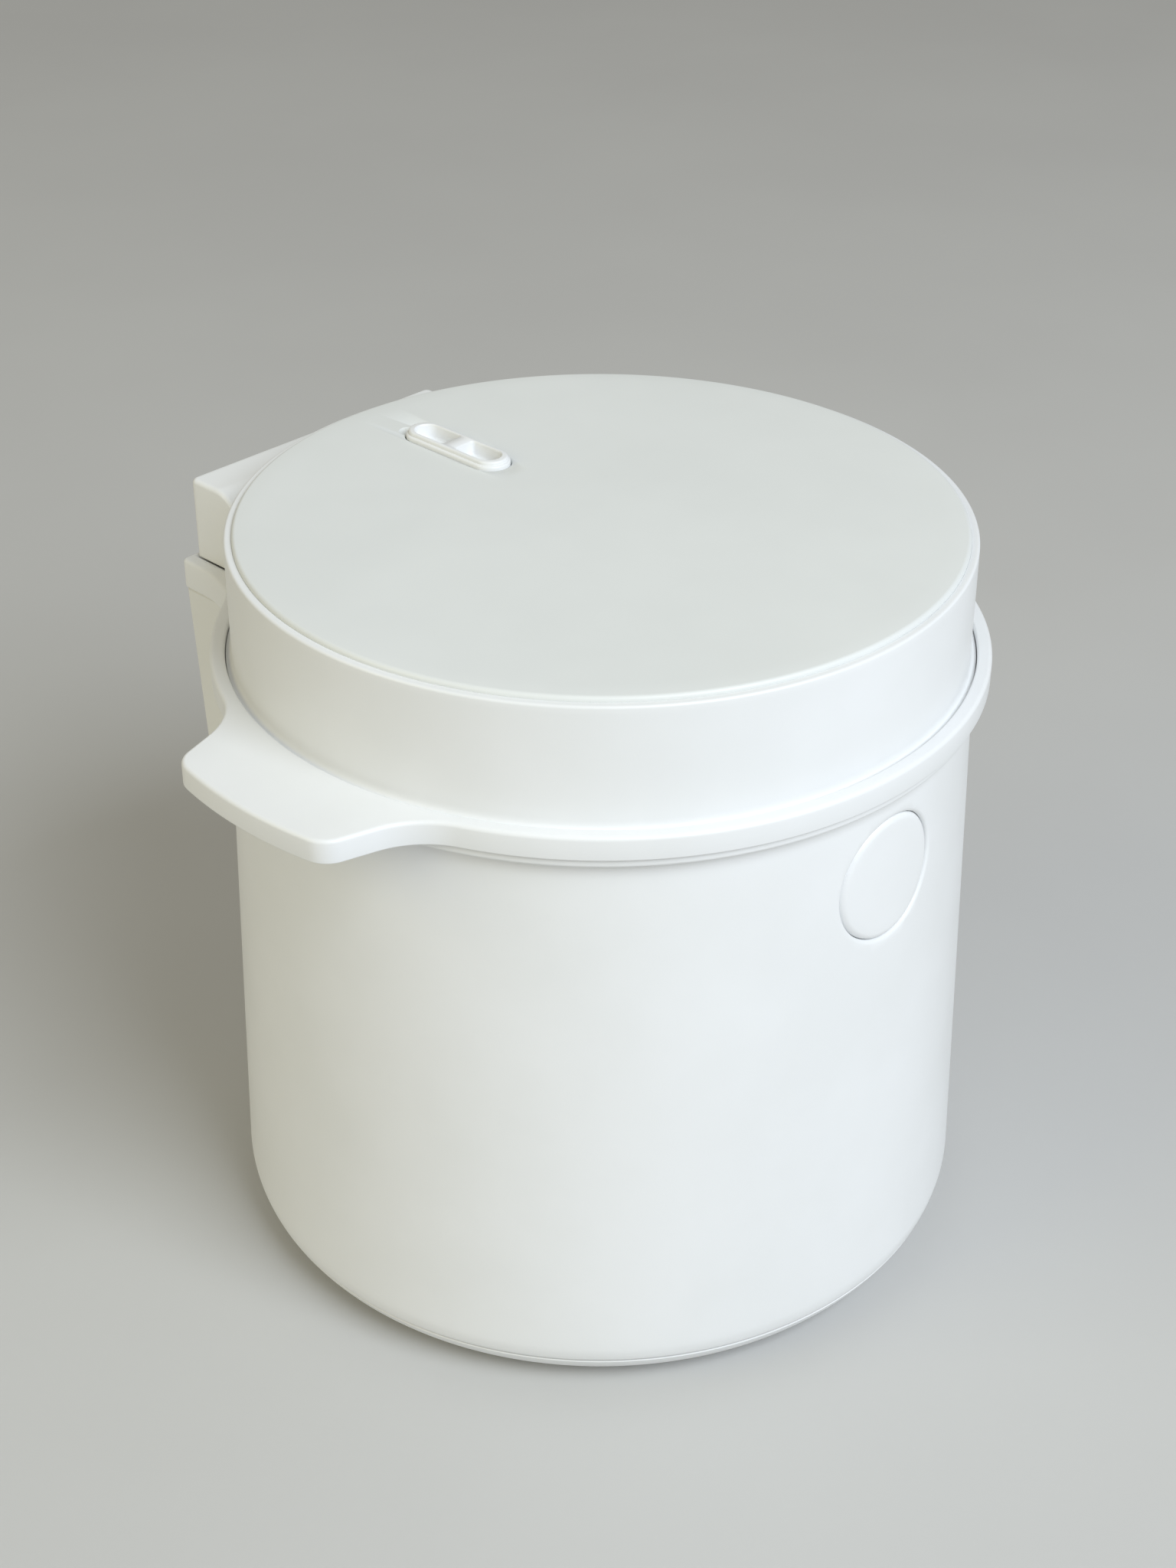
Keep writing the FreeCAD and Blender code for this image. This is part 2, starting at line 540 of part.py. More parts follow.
def turned(body, kind, points):
    """A Revolution or Groove of an outline about the upright axis."""
    sketch = outline(sketch_on(body, "XZ_Plane", "section"), points)
    feature = body.newObject("PartDesign::" + kind, kind)
    feature.Profile = sketch
    feature.ReferenceAxis = (sketch, ["V_Axis"])
    feature.Angle = 360
    return settled(body, feature, kind == "Revolution")


def settled(body, feature, adds):
    """Recompute, and make sure that the feature added or took away material."""
    before = 0 if feature.BaseFeature is None else feature.BaseFeature.Shape.Volume
    doc.recompute()
    change = feature.Shape.Volume - before
    if abs(change) < 1e-3 or (change > 0) != adds:
        raise RuntimeError("%s %s changed the volume by %.3f" % (body.Label, feature.Name, change))
    return feature


def around(body, features, count):
    """Copies of features about the upright axis."""
    pattern = body.newObject("PartDesign::PolarPattern", "around")
    pattern.Originals = features
    pattern.Axis = ([axis for axis in body.Origin.OriginFeatures if axis.Role == "Z_Axis"][0], "")
    pattern.Angle = 360
    pattern.setExpression("Occurrences", bound(count))
    body.Tip = pattern
    doc.recompute()
    return pattern


def mirrored(body, features):
    """The same features on the other side of the middle plane."""
    mirror = body.newObject("PartDesign::Mirrored", "mirrored")
    mirror.Originals = features
    mirror.MirrorPlane = ([plane for plane in body.Origin.OriginFeatures if plane.Role == "YZ_Plane"][0], "")
    body.Tip = mirror
    doc.recompute()
    return mirror


def rounded(body, base, radius, wanted):
    """A fillet on the edges of the last feature that the test picks."""
    names = ["Edge%d" % index for index, edge in enumerate(base.Shape.Edges, start=1) if wanted(edge)]
    if not names:
        raise RuntimeError("%s has no edge to round" % body.Label)
    fillet = body.newObject("PartDesign::Fillet", "rounding")
    fillet.Base = (base, names)
    fillet.setExpression("Radius", bound(radius))
    doc.recompute()
    return fillet


def is_upright(edge):
    """Whether an edge is a straight line along Z."""
    first = edge.Vertexes[0].Point
    last = edge.Vertexes[-1].Point
    return len(edge.Vertexes) == 2 and abs(first.x - last.x) + abs(first.y - last.y) < 1e-6


def primitive(kind, name, sizes, place, rotation=None):
    """A Part primitive with its sizes and place bound to formulas."""
    thing = doc.addObject("Part::" + kind, name)
    for size, formula in sizes.items():
        thing.setExpression(size, bound(formula))
    if rotation is not None:
        thing.Placement = Placement(Vector(), rotation)
    for axis, formula in zip("xyz", place):
        thing.setExpression("Placement.Base." + axis, bound(formula))
    return thing


def boolean(kind, label, base, tool):
    """A Part boolean of two objects."""
    thing = doc.addObject("Part::" + kind, label)
    thing.Base = base
    thing.Tool = tool
    return thing


def group(label, things):
    """Separate solids that share one node."""
    compound = doc.addObject("Part::Compound", label)
    compound.Links = things
    return named(compound, label)


ALONG_X = Rotation(Vector(0, 1, 0), 90)


def coil(axis_start, axis, across, radius, wire, pitch, turns):
    """A helical tube on tangent arcs, a quarter turn to each pair, with its least gap printed."""
    third = axis.cross(across)
    rise = pitch / (2 * math.pi)
    steps = int(round(turns * 4))

    def place(angle):
        out = across * (radius * math.cos(angle)) + third * (radius * math.sin(angle))
        return axis_start + out + axis * (rise * angle)

    def heading(angle):
        way = third * (radius * math.cos(angle)) - across * (radius * math.sin(angle)) + axis * rise
        return way.normalize()

    def arc(start, corner, finish, reach):
        middle = (start + finish) * 0.5
        cosine = (finish - start).Length / 2 / reach
        return Part.Arc(start, middle + (corner - middle) * (cosine / (1 + cosine)), finish).toShape()

    edges = []
    for step in range(steps):
        angle = step * math.pi / 2
        start = place(angle)
        finish = place(angle + math.pi / 2)
        leave = heading(angle)
        arrive = heading(angle + math.pi / 2)
        span = finish - start
        both = leave + arrive
        spare = 2 * (1 - leave.dot(arrive))
        along = span.dot(both)
        reach = (math.sqrt(along ** 2 + spare * span.dot(span)) - along) / spare
        joint = (start + finish + (leave - arrive) * reach) * 0.5
        edges.append(arc(start, start + leave * reach, joint, reach))
        edges.append(arc(joint, finish - arrive * reach, finish, reach))
    section = Part.Wire([Part.Circle(place(0), heading(0), wire).toShape()])
    tube = Part.Wire(edges).makePipeShell([section], True, False)
    print("coil of %g turns: least gap between turns %.2f mm" % (turns, pitch - 2 * wire))
    return tube


def coil_part(label, **form):
    """A spring as one node."""
    spring = doc.addObject("Part::Feature", label)
    spring.Shape = coil(**form)
    return named(spring, label)


# Base cover: a dish with a rounded side, a groove for the foot ring, air slots, board posts and screw holes
SEAM_OUTER = rounding_radius("seam_height", "body_round")
LIP_OUTER = "(%s - body_wall - seam_gap)" % SEAM_OUTER
FOOT_OUTER = "(%s - foot_inset)" % ROUND_RADIUS
FOOT_INNER = "(%s - foot_width)" % FOOT_OUTER
FOOT_TOP = "(foot_height + foot_sink)"

base_cover = new_body("base_cover")
turned(base_cover, "Revolution", [
    ("0", "foot_height"), (FOOT_INNER, "foot_height"), (FOOT_INNER, FOOT_TOP),
    (FOOT_OUTER, FOOT_TOP), (FOOT_OUTER, "foot_height"), (ROUND_RADIUS, "foot_height"),
    (SEAM_OUTER, "seam_height", "body_round", -1), (LIP_OUTER, "seam_height"),
    (LIP_OUTER, "seam_height + base_lip_height"),
    (LIP_OUTER + " - base_lip", "seam_height + base_lip_height"),
    (LIP_OUTER + " - base_lip", "foot_height + base_side_height"), (ROUND_RADIUS, BASE_FLOOR),
    ("0", BASE_FLOOR)])
slot_sketch = stadium(
    sketch_on(base_cover, "XY_Plane", "air_slot"), "0", FOOT_INNER + " - slot_inset - slot_length / 2",
    "slot_length / 2", "slot_width / 2")
air_slot = extrude(base_cover, "Pocket", slot_sketch, None, reverse=True)
around(base_cover, [air_slot], "slot_count")
board_x = "board_width / 2 - post_inset"
board_y = "board_depth / 2 - post_inset"
POSTS = [
    ("%s(%s)" % (side, board_x), "board_setback %s (%s)" % (way, board_y))
    for side in ("", "-") for way in "+-"]
post_sketch = sketch_on(base_cover, "XY_Plane", "posts", BASE_FLOOR)
extrude(base_cover, "Pad", circles(post_sketch, [(x, y, "post_radius") for x, y in POSTS]), "board_height")
CORNERS = [(across, along) for across in (1, -1) for along in (1, -1)]
SCREW_SIDE = "(%s - screw_inset) * sqrt(0.5)" % ROUND_RADIUS
BASE_SCREWS = [
    ("(%d) * %s" % (across, SCREW_SIDE), "(%d) * %s" % (along, SCREW_SIDE))
    for across, along in CORNERS]
screw_holes = circles(
    sketch_on(base_cover, "XY_Plane", "screw_holes"),
    [(x, y, "screw_radius + screw_fit") for x, y in BASE_SCREWS])
extrude(base_cover, "Pocket", screw_holes, None, reverse=True)
head_seats = circles(
    sketch_on(base_cover, "XY_Plane", "head_seats"),
    [(x, y, "screw_head_radius + screw_fit") for x, y in BASE_SCREWS])
extrude(base_cover, "Pocket", head_seats, "foot_height + screw_head_height", reverse=True)

foot_ring = new_body("foot_ring")
turned(foot_ring, "Revolution", [
    (FOOT_INNER + " + screw_fit", "0"), (FOOT_OUTER + " - screw_fit", "0"),
    (FOOT_OUTER + " - screw_fit", FOOT_TOP), (FOOT_INNER + " + screw_fit", FOOT_TOP)])


def screw(label, x, y, seat):
    """A screw driven from below, whose head bears at a height, with its shank above it."""
    head = primitive(
        "Cylinder", label + "_head", {"Radius": "screw_head_radius", "Height": "screw_head_height"},
        (x, y, seat + " - screw_head_height"))
    shank = primitive(
        "Cylinder", label + "_shank",
        {"Radius": "screw_radius", "Height": "screw_length + screw_head_height / 2"},
        (x, y, seat + " - screw_head_height / 2"))
    return boolean("Fuse", label, head, shank)


group("base_screws", [
    screw("base_screw_%d" % index, x, y, "foot_height + screw_head_height")
    for index, (x, y) in enumerate(BASE_SCREWS)])

# Body shell: a flared sleeve with a rounded foot, a flange, screw bosses, the button hole and the inlet hole
SHELL_FOOT = "(seam_height + seam_gap)"
body_shell = new_body("body_shell")
turned(body_shell, "Revolution", [
    (rounding_radius(SHELL_FOOT, "body_round"), SHELL_FOOT), (BODY_BOTTOM, ROUND_HEIGHT, "body_round", -1),
    (BODY_TOP, "body_height"), (FLANGE_OUTER, "body_height"), (FLANGE_OUTER, FLANGE_TOP),
    (FLANGE_INNER, FLANGE_TOP), (FLANGE_INNER, "body_height"), (BODY_TOP + " - body_wall", "body_height"),
    (BODY_BOTTOM + " - body_wall", ROUND_HEIGHT),
    (rounding_radius(SHELL_FOOT, "body_round - body_wall"), SHELL_FOOT, "body_round - body_wall", 1)])
button_hole = circles(
    sketch_on(body_shell, "XZ_Plane", "button_hole"), [("0", BUTTON_HEIGHT, "button_radius + button_gap")])
extrude(body_shell, "Pocket", button_hole, BODY_BOTTOM, reverse=True)
inlet_hole = rectangle(
    sketch_on(body_shell, "XZ_Plane", "inlet_hole"), minus("inlet_half_width + inlet_gap"),
    "inlet_height - inlet_half_height - inlet_gap", "inlet_half_width + inlet_gap",
    "inlet_height + inlet_half_height + inlet_gap")
extrude(body_shell, "Pocket", inlet_hole, BODY_BOTTOM)
BOSS_TOP = "(%s + boss_height)" % BASE_FLOOR
WEB_REACH = "(%s - body_wall / 2) * sqrt(0.5)" % BODY_BOTTOM
WEB_HALF = "boss_web * sqrt(0.125)"
for (across, along), (x, y) in zip(CORNERS, BASE_SCREWS):
    web = []
    for distance, side in ((SCREW_SIDE, 1), (SCREW_SIDE, -1), (WEB_REACH, -1), (WEB_REACH, 1)):
        web.append((
            "(%d) * %s + (%d) * %s" % (across, distance, -along * side, WEB_HALF),
            "(%d) * %s + (%d) * %s" % (along, distance, across * side, WEB_HALF)))
    web_sketch = outline(sketch_on(body_shell, "XY_Plane", "web", ROUND_HEIGHT), web)
    extrude(body_shell, "Pad", web_sketch, "%s - %s" % (BOSS_TOP, ROUND_HEIGHT))
    boss_sketch = circles(sketch_on(body_shell, "XY_Plane", "boss", BASE_FLOOR), [(x, y, "boss_radius")])
    extrude(body_shell, "Pad", boss_sketch, "boss_height")
pilot_holes = circles(
    sketch_on(body_shell, "XY_Plane", "pilot_holes", BASE_FLOOR),
    [(x, y, "screw_radius + screw_fit") for x, y in BASE_SCREWS])
extrude(body_shell, "Pocket", pilot_holes, "screw_length + screw_head_height", reverse=True)

# Rim ring: a plate with two ears and the hinge pedestal, a recess for the lid, the pot seat and hinge lugs
EAR_ROOT = "sqrt(%s ^ 2 - ear_root_half ^ 2)" % RING_OUTER
EAR_REACH = "(%s + ear_length)" % RING_OUTER
EAR_TIP = "sqrt(%s ^ 2 - ear_tip_half ^ 2)" % EAR_REACH
PEDESTAL_ROOT = "sqrt(%s ^ 2 - pedestal_half ^ 2)" % RING_OUTER
RING_SEAT = "(%s - ring_seat_gap)" % BODY_TOP
SKIRT_FOOT = "(%s - pedestal_skirt)" % RING_FOOT

rim_ring = new_body("rim_ring")
ring_plan = outline(sketch_on(rim_ring, "XY_Plane", "plan", RING_FOOT), [
    (EAR_ROOT, minus("ear_root_half"), RING_OUTER, -1), (EAR_TIP, minus("ear_tip_half")),
    (EAR_TIP, "ear_tip_half", EAR_REACH, -1), (EAR_ROOT, "ear_root_half"),
    ("pedestal_half", PEDESTAL_ROOT, RING_OUTER, -1), ("pedestal_half", PEDESTAL_BACK),
    (minus("pedestal_half"), PEDESTAL_BACK), (minus("pedestal_half"), PEDESTAL_ROOT),
    (minus(EAR_ROOT), "ear_root_half", RING_OUTER, -1), (minus(EAR_TIP), "ear_tip_half"),
    (minus(EAR_TIP), minus("ear_tip_half"), EAR_REACH, -1), (minus(EAR_ROOT), minus("ear_root_half"))])
ring_plate = extrude(rim_ring, "Pad", ring_plan, "ring_height")


def upright_at(x, y):
    """A test for the upright edges at a place and at its mirror images."""
    return lambda edge: (
        is_upright(edge) and abs(abs(edge.Vertexes[0].X) - number(x)) < 1e-3
        and abs(abs(edge.Vertexes[0].Y) - number(y)) < 1e-3)


def level_at(height):
    """A test for the edges that lie at a height."""
    return lambda edge: all(abs(vertex.Z - number(height)) < 1e-3 for vertex in edge.Vertexes)


ring_plate = rounded(rim_ring, ring_plate, "ear_fillet", upright_at(EAR_ROOT, "ear_root_half"))
ring_plate = rounded(rim_ring, ring_plate, "ear_corner", upright_at(EAR_TIP, "ear_tip_half"))
ring_plate = rounded(rim_ring, ring_plate, "pedestal_fillet", upright_at("pedestal_half", PEDESTAL_ROOT))
ring_plate = rounded(rim_ring, ring_plate, "pedestal_corner", upright_at("pedestal_half", PEDESTAL_BACK))
ring_plate = rounded(rim_ring, ring_plate, "ring_edge_round", level_at(RING_TOP))
ring_plate = rounded(rim_ring, ring_plate, "ring_edge_round / 2", level_at(RING_FOOT))
turned(rim_ring, "Groove", [
    ("0", RING_FOOT + " - ring_height"), (LIP_INNER, RING_FOOT + " - ring_height"),
    (LIP_INNER, RING_TOP + " + ring_height"), ("0", RING_TOP + " + ring_height")])
turned(rim_ring, "Revolution", [
    (RING_BORE, FLANGE_TOP), (RING_SEAT, FLANGE_TOP), (RING_SEAT, RING_FOOT),
    (LIP_INNER + " + rim_lip_width / 3", RING_FOOT), (LIP_INNER + " + rim_lip_width / 3", LEDGE),
    (POT_SEAT, LEDGE), (POT_SEAT, SEAT), (RING_BORE, SEAT)])
skirt_half = "pedestal_half - skirt_inset"
skirt_bend = skirt_half + " - pedestal_corner"
skirt_back = PEDESTAL_BACK + " - skirt_inset"
skirt_side = skirt_back + " - pedestal_corner"
skirt = outline(sketch_on(rim_ring, "XY_Plane", "skirt", SKIRT_FOOT), [
    (skirt_half, PEDESTAL_ROOT), (skirt_half, skirt_side), (skirt_bend, skirt_back, "pedestal_corner", -1),
    (minus(skirt_bend), skirt_back), (minus(skirt_half), skirt_side, "pedestal_corner", -1),
    (minus(skirt_half), PEDESTAL_ROOT)])
extrude(rim_ring, "Pad", skirt, "pedestal_skirt + ring_edge_round")
turned(rim_ring, "Groove", [
    ("0", SKIRT_FOOT + " - skirt_gap"), (FLANGE_OUTER + " + skirt_gap", SKIRT_FOOT + " - skirt_gap"),
    (FLANGE_OUTER + " + skirt_gap", RING_FOOT), (RING_SEAT, RING_FOOT), (RING_SEAT, FLANGE_TOP),
    ("0", FLANGE_TOP)])

# The lid's recess runs out over the pedestal: the lip slopes down, and the block turns in a round trough
RAMP_FRONT = MEET_Y
RAMP_REAR = "(%s + pedestal_ramp)" % RAMP_FRONT
ramp = outline(sketch_on(rim_ring, "YZ_Plane", "ramp"), [
    (RAMP_FRONT, RING_TOP), (RAMP_REAR, LEDGE), (PEDESTAL_BACK + " + skirt_gap", LEDGE),
    (PEDESTAL_BACK + " + skirt_gap", RING_TOP + " + skirt_gap"), (RAMP_FRONT, RING_TOP + " + skirt_gap")])
extrude(rim_ring, "Pocket", ramp, "4 * pedestal_half", both=True)
gate = rectangle(
    sketch_on(rim_ring, "XY_Plane", "gate", LEDGE), minus("block_half + gate_play"), RAMP_FRONT,
    "block_half + gate_play", PEDESTAL_BACK + " + skirt_gap")
extrude(rim_ring, "Pocket", gate, "ring_height", reverse=True)
trough = circles(sketch_on(rim_ring, "YZ_Plane", "trough"), [(HINGE_BACK, HINGE_HEIGHT, TROUGH_RADIUS)])
extrude(rim_ring, "Pocket", trough, "2 * (block_half + trough_gap)", both=True)
drain = circles(sketch_on(rim_ring, "XY_Plane", "drain"), [("0", HINGE_BACK, "drain_radius")])
extrude(rim_ring, "Pocket", drain, None, reverse=True)
window = rectangle(
    sketch_on(rim_ring, "XY_Plane", "catch_window"), minus("window_half"),
    minus(LATCH_AXIS + " + window_front"),
    "window_half", minus(LATCH_AXIS + " - bracket_back"))
extrude(rim_ring, "Pocket", window, None, reverse=True)
lug_front = HINGE_BACK + " - lug_radius"
lug_rear = HINGE_BACK + " + lug_radius"
lug_foot = TROUGH_FLOOR + " - lug_play"
lug = extrude(rim_ring, "Pad", outline(sketch_on(rim_ring, "YZ_Plane", "lug", "lug_inner"), [
    (lug_front, lug_foot), (lug_rear, lug_foot), (lug_rear, HINGE_HEIGHT),
    (HINGE_BACK, HINGE_HEIGHT + " + lug_radius", "lug_radius", -1),
    (lug_front, HINGE_HEIGHT, "lug_radius", -1)]),
    "lug_width")
mirrored(rim_ring, [lug])
PIN_HALF = "(lug_inner + lug_width + lug_play + rib_width)"
lug_bores = circles(
    sketch_on(rim_ring, "YZ_Plane", "lug_bores"),
    [(HINGE_BACK, HINGE_HEIGHT, "hinge_pin_radius + screw_fit")])
extrude(rim_ring, "Pocket", lug_bores, "2 * " + PIN_HALF, both=True)

named(primitive(
    "Cylinder", "hinge_pin", {"Radius": "hinge_pin_radius", "Height": "2 * " + PIN_HALF},
    (minus(PIN_HALF), HINGE_BACK, HINGE_HEIGHT), ALONG_X), "hinge_pin")
coil_part(
    "hinge_spring", radius=number("hinge_pin_radius + spring_gap + spring_wire"), wire=number("spring_wire"),
    pitch=number("spring_pitch"), turns=number("spring_turns"), axis=Vector(1, 0, 0), across=Vector(0, 1, 0),
    axis_start=Vector(-number("spring_turns * spring_pitch / 2"), number(HINGE_BACK), number(HINGE_HEIGHT)))

# Lid shell: the wall with a shelf for the top panel, and the hinge block that is one with it
FLAT_EDGE = "(%s - block_flat)" % BLOCK_BACK
SCOOP_END = "(%s - scoop_round * sin(scoop_angle))" % FLAT_EDGE
SCOOP_DROP = "(%s - scoop_round * (1 - cos(scoop_angle)))" % BLOCK_TOP
SCOOP_FOOT = "(%s - (%s - %s) * tan(scoop_angle))" % (SCOOP_DROP, SCOOP_END, MEET_Y)
BLOCK_ROOF = "(%s - block_wall - trough_gap * 2)" % BLOCK_TOP
SHELF_FOOT = "(%s - lid_shelf_thickness)" % SHELF
LID_INNER_CROWN = "(%s - lid_wall)" % LID_CROWN
LID_INNER_FOOT = "(%s - lid_wall)" % LID_FOOT

lid_shell = new_body("lid_shell")
block_plan = outline(sketch_on(lid_shell, "XY_Plane", "block_plan", BLOCK_FOOT), [
    (MEET_X, MEET_Y), ("block_half", HOLLOW_Y, "block_hollow", 1), ("block_half", BLOCK_BACK),
    (minus("block_half"), BLOCK_BACK), (minus("block_half"), HOLLOW_Y),
    (minus(MEET_X), MEET_Y, "block_hollow", 1)])
block = extrude(lid_shell, "Pad", block_plan, "%s - %s" % (BLOCK_TOP, BLOCK_FOOT))
block = rounded(lid_shell, block, "block_corner", upright_at("block_half", BLOCK_BACK))
scoop = outline(sketch_on(lid_shell, "YZ_Plane", "scoop"), [
    (FLAT_EDGE, BLOCK_TOP + " + block_wall"), (MEET_Y, BLOCK_TOP + " + block_wall"), (MEET_Y, SCOOP_FOOT),
    (SCOOP_END, SCOOP_DROP), (FLAT_EDGE, BLOCK_TOP, "scoop_round", 1)])
block = extrude(lid_shell, "Pocket", scoop, "4 * block_half", both=True)
turned(lid_shell, "Revolution", [
    (LID_INNER_FOOT, LID_BOTTOM), (LID_FOOT, LID_BOTTOM), (LID_CROWN, LID_TOP + " - lid_edge_round"),
    (LID_CROWN + " - lid_edge_round", LID_TOP, "lid_edge_round", -1),
    (LID_CROWN + " - lid_rim_width", LID_TOP),
    (LID_CROWN + " - lid_rim_width", SHELF),
    (LID_CROWN + " - lid_rim_width - lid_shelf_width", SHELF),
    (LID_CROWN + " - lid_rim_width - lid_shelf_width", SHELF_FOOT), (LID_INNER_CROWN, SHELF_FOOT)])
turned(lid_shell, "Groove", [
    ("0", LID_BOTTOM + " - lid_wall"), (LID_INNER_FOOT, LID_BOTTOM + " - lid_wall"),
    (LID_INNER_FOOT, LID_BOTTOM),
    (LID_INNER_CROWN, SHELF_FOOT), ("0", SHELF_FOOT)])
CAVITY_HALF = "(block_half - block_wall)"
CAVITY_FRONT = "(%s + trough_gap)" % LID_FOOT
CAVITY_REAR = "(%s - block_wall)" % BLOCK_BACK
CAVITY_SIDE = "sqrt(%s ^ 2 - %s ^ 2)" % (CAVITY_FRONT, CAVITY_HALF)
low_cavity = outline(sketch_on(lid_shell, "XY_Plane", "low_cavity", BLOCK_FOOT), [
    (CAVITY_HALF, CAVITY_SIDE, CAVITY_FRONT, 1), (CAVITY_HALF, CAVITY_REAR),
    (minus(CAVITY_HALF), CAVITY_REAR),
    (minus(CAVITY_HALF), CAVITY_SIDE)])
extrude(lid_shell, "Pocket", low_cavity, "%s - block_wall - %s" % (SCOOP_FOOT, BLOCK_FOOT), reverse=True)
high_cavity = rectangle(
    sketch_on(lid_shell, "XY_Plane", "high_cavity", BLOCK_FOOT), minus(CAVITY_HALF),
    HINGE_BACK + " - lug_radius - 2 * lug_play", CAVITY_HALF, CAVITY_REAR)
extrude(lid_shell, "Pocket", high_cavity, "%s - %s" % (BLOCK_ROOF, BLOCK_FOOT), reverse=True)
RIB_FOOT = "(%s + rib_lift)" % BLOCK_FOOT
ribs = []
for start in ("lug_inner - lug_play - rib_width", "lug_inner + lug_width + lug_play"):
    rib = rectangle(
        sketch_on(lid_shell, "YZ_Plane", "rib", start), HINGE_BACK + " - lug_radius - 4 * lug_play", RIB_FOOT,
        CAVITY_REAR + " + lug_play", BLOCK_ROOF + " + lug_play")
    ribs.append(extrude(lid_shell, "Pad", rib, "rib_width"))
mirrored(lid_shell, ribs)
lug_slot = rectangle(
    sketch_on(lid_shell, "XZ_Plane", "lug_slot", minus(CAVITY_REAR + " - lug_play")), "lug_inner - lug_play",
    BLOCK_FOOT + " - lug_play", "lug_inner + lug_width + lug_play", BLOCK_ROOF)
lug_slot = extrude(lid_shell, "Pocket", lug_slot, "2 * block_wall")
mirrored(lid_shell, [lug_slot])
rib_bores = circles(
    sketch_on(lid_shell, "YZ_Plane", "rib_bores"),
    [(HINGE_BACK, HINGE_HEIGHT, "hinge_pin_radius + screw_fit")])
extrude(lid_shell, "Pocket", rib_bores, "2 * %s + lug_play" % PIN_HALF, both=True)
LID_SCREW_SIDE = "(%s - lid_screw_inset) * sqrt(0.5)" % FRAME_OUTER
LID_SCREWS = [
    ("(%d) * %s" % (across, LID_SCREW_SIDE), "(%d) * %s" % (along, LID_SCREW_SIDE))
    for across, along in CORNERS]
lid_bosses = circles(
    sketch_on(lid_shell, "XY_Plane", "lid_bosses", FRAME_FLANGE),
    [(x, y, "lid_boss_radius") for x, y in LID_SCREWS])
extrude(lid_shell, "Pad", lid_bosses, "%s - %s" % (SHELF, FRAME_FLANGE))
lid_pilots = circles(
    sketch_on(lid_shell, "XY_Plane", "lid_pilots", FRAME_FLANGE),
    [(x, y, "screw_radius + screw_fit") for x, y in LID_SCREWS])
extrude(lid_shell, "Pocket", lid_pilots, "screw_length", reverse=True)

# Lid top panel: a plate on a skirt, with the vent's opening and a shallow finger notch
lid_top_panel = new_body("lid_top_panel")
turned(lid_top_panel, "Revolution", [
    ("0", PANEL_FOOT), (PANEL_OUTER + " - panel_skirt", PANEL_FOOT), (PANEL_OUTER + " - panel_skirt", SHELF),
    (PANEL_OUTER, SHELF), (PANEL_OUTER, PANEL_TOP + " - panel_round"),
    (PANEL_OUTER + " - panel_round", PANEL_TOP, "panel_round", -1), ("0", PANEL_TOP)])
vent_opening = stadium(
    sketch_on(lid_top_panel, "XY_Plane", "vent_opening"), "vent_offset", VENT_BACK, "vent_half_length",
    "vent_radius + vent_gap")
extrude(lid_top_panel, "Pocket", vent_opening, None, reverse=True)
notch = circles(
    sketch_on(lid_top_panel, "XY_Plane", "finger_notch", PANEL_TOP),
    [("vent_offset - notch_offset", VENT_BACK + " + vent_half_length + vent_radius", "notch_width / 2")])
extrude(lid_top_panel, "Pocket", notch, "notch_depth")

# Steam vent cap: two tiers with two wells, standing through the panel over the duct
CAP_FOOT = "(%s - vent_depth)" % PANEL_TOP
CAP_TOP = "(%s + vent_proud)" % PANEL_TOP
steam_vent_cap = new_body("steam_vent_cap")
tier = stadium(
    sketch_on(steam_vent_cap, "XY_Plane", "lower_tier", CAP_FOOT), "vent_offset", VENT_BACK,
    "vent_half_length",
    "vent_radius")
extrude(steam_vent_cap, "Pad", tier, "vent_depth + vent_proud - vent_step_height")
tier = stadium(
    sketch_on(steam_vent_cap, "XY_Plane", "upper_tier", CAP_TOP + " - vent_step_height"), "vent_offset",
    VENT_BACK, "vent_half_length", "vent_radius - vent_step")
cap = extrude(steam_vent_cap, "Pad", tier, "vent_step_height")
cap = rounded(steam_vent_cap, cap, "vent_step / 2", level_at(CAP_TOP))
for side in "+-":
    well = stadium(
        sketch_on(steam_vent_cap, "XY_Plane", "well", CAP_TOP), "vent_offset",
        "%s %s well_spacing" % (VENT_BACK, side), "well_half", "well_radius")
    extrude(steam_vent_cap, "Pocket", well, "well_depth")
steam_holes = circles(
    sketch_on(steam_vent_cap, "XY_Plane", "steam_holes"),
    [("vent_offset", "%s %s well_spacing %s well_half / 2" % (VENT_BACK, side, way), "steam_hole")
     for side in "+-" for way in "+-"])
extrude(steam_vent_cap, "Pocket", steam_holes, None, reverse=True)

# Steam duct on the lid frame, and the soft seal between it and the cap
SEAL_FOOT = "(%s - panel_gap - seal_height)" % CAP_FOOT
DUCT_BORE = "(duct_radius - duct_wall)"
ROOF_TOP = "(%s + frame_wall)" % FRAME_ROOF


def moved_to_vent(body):
    """Put a body that is turned about its own axis under the vent."""
    body.setExpression("Placement.Base.x", bound("vent_offset"))
    body.setExpression("Placement.Base.y", bound(VENT_BACK))


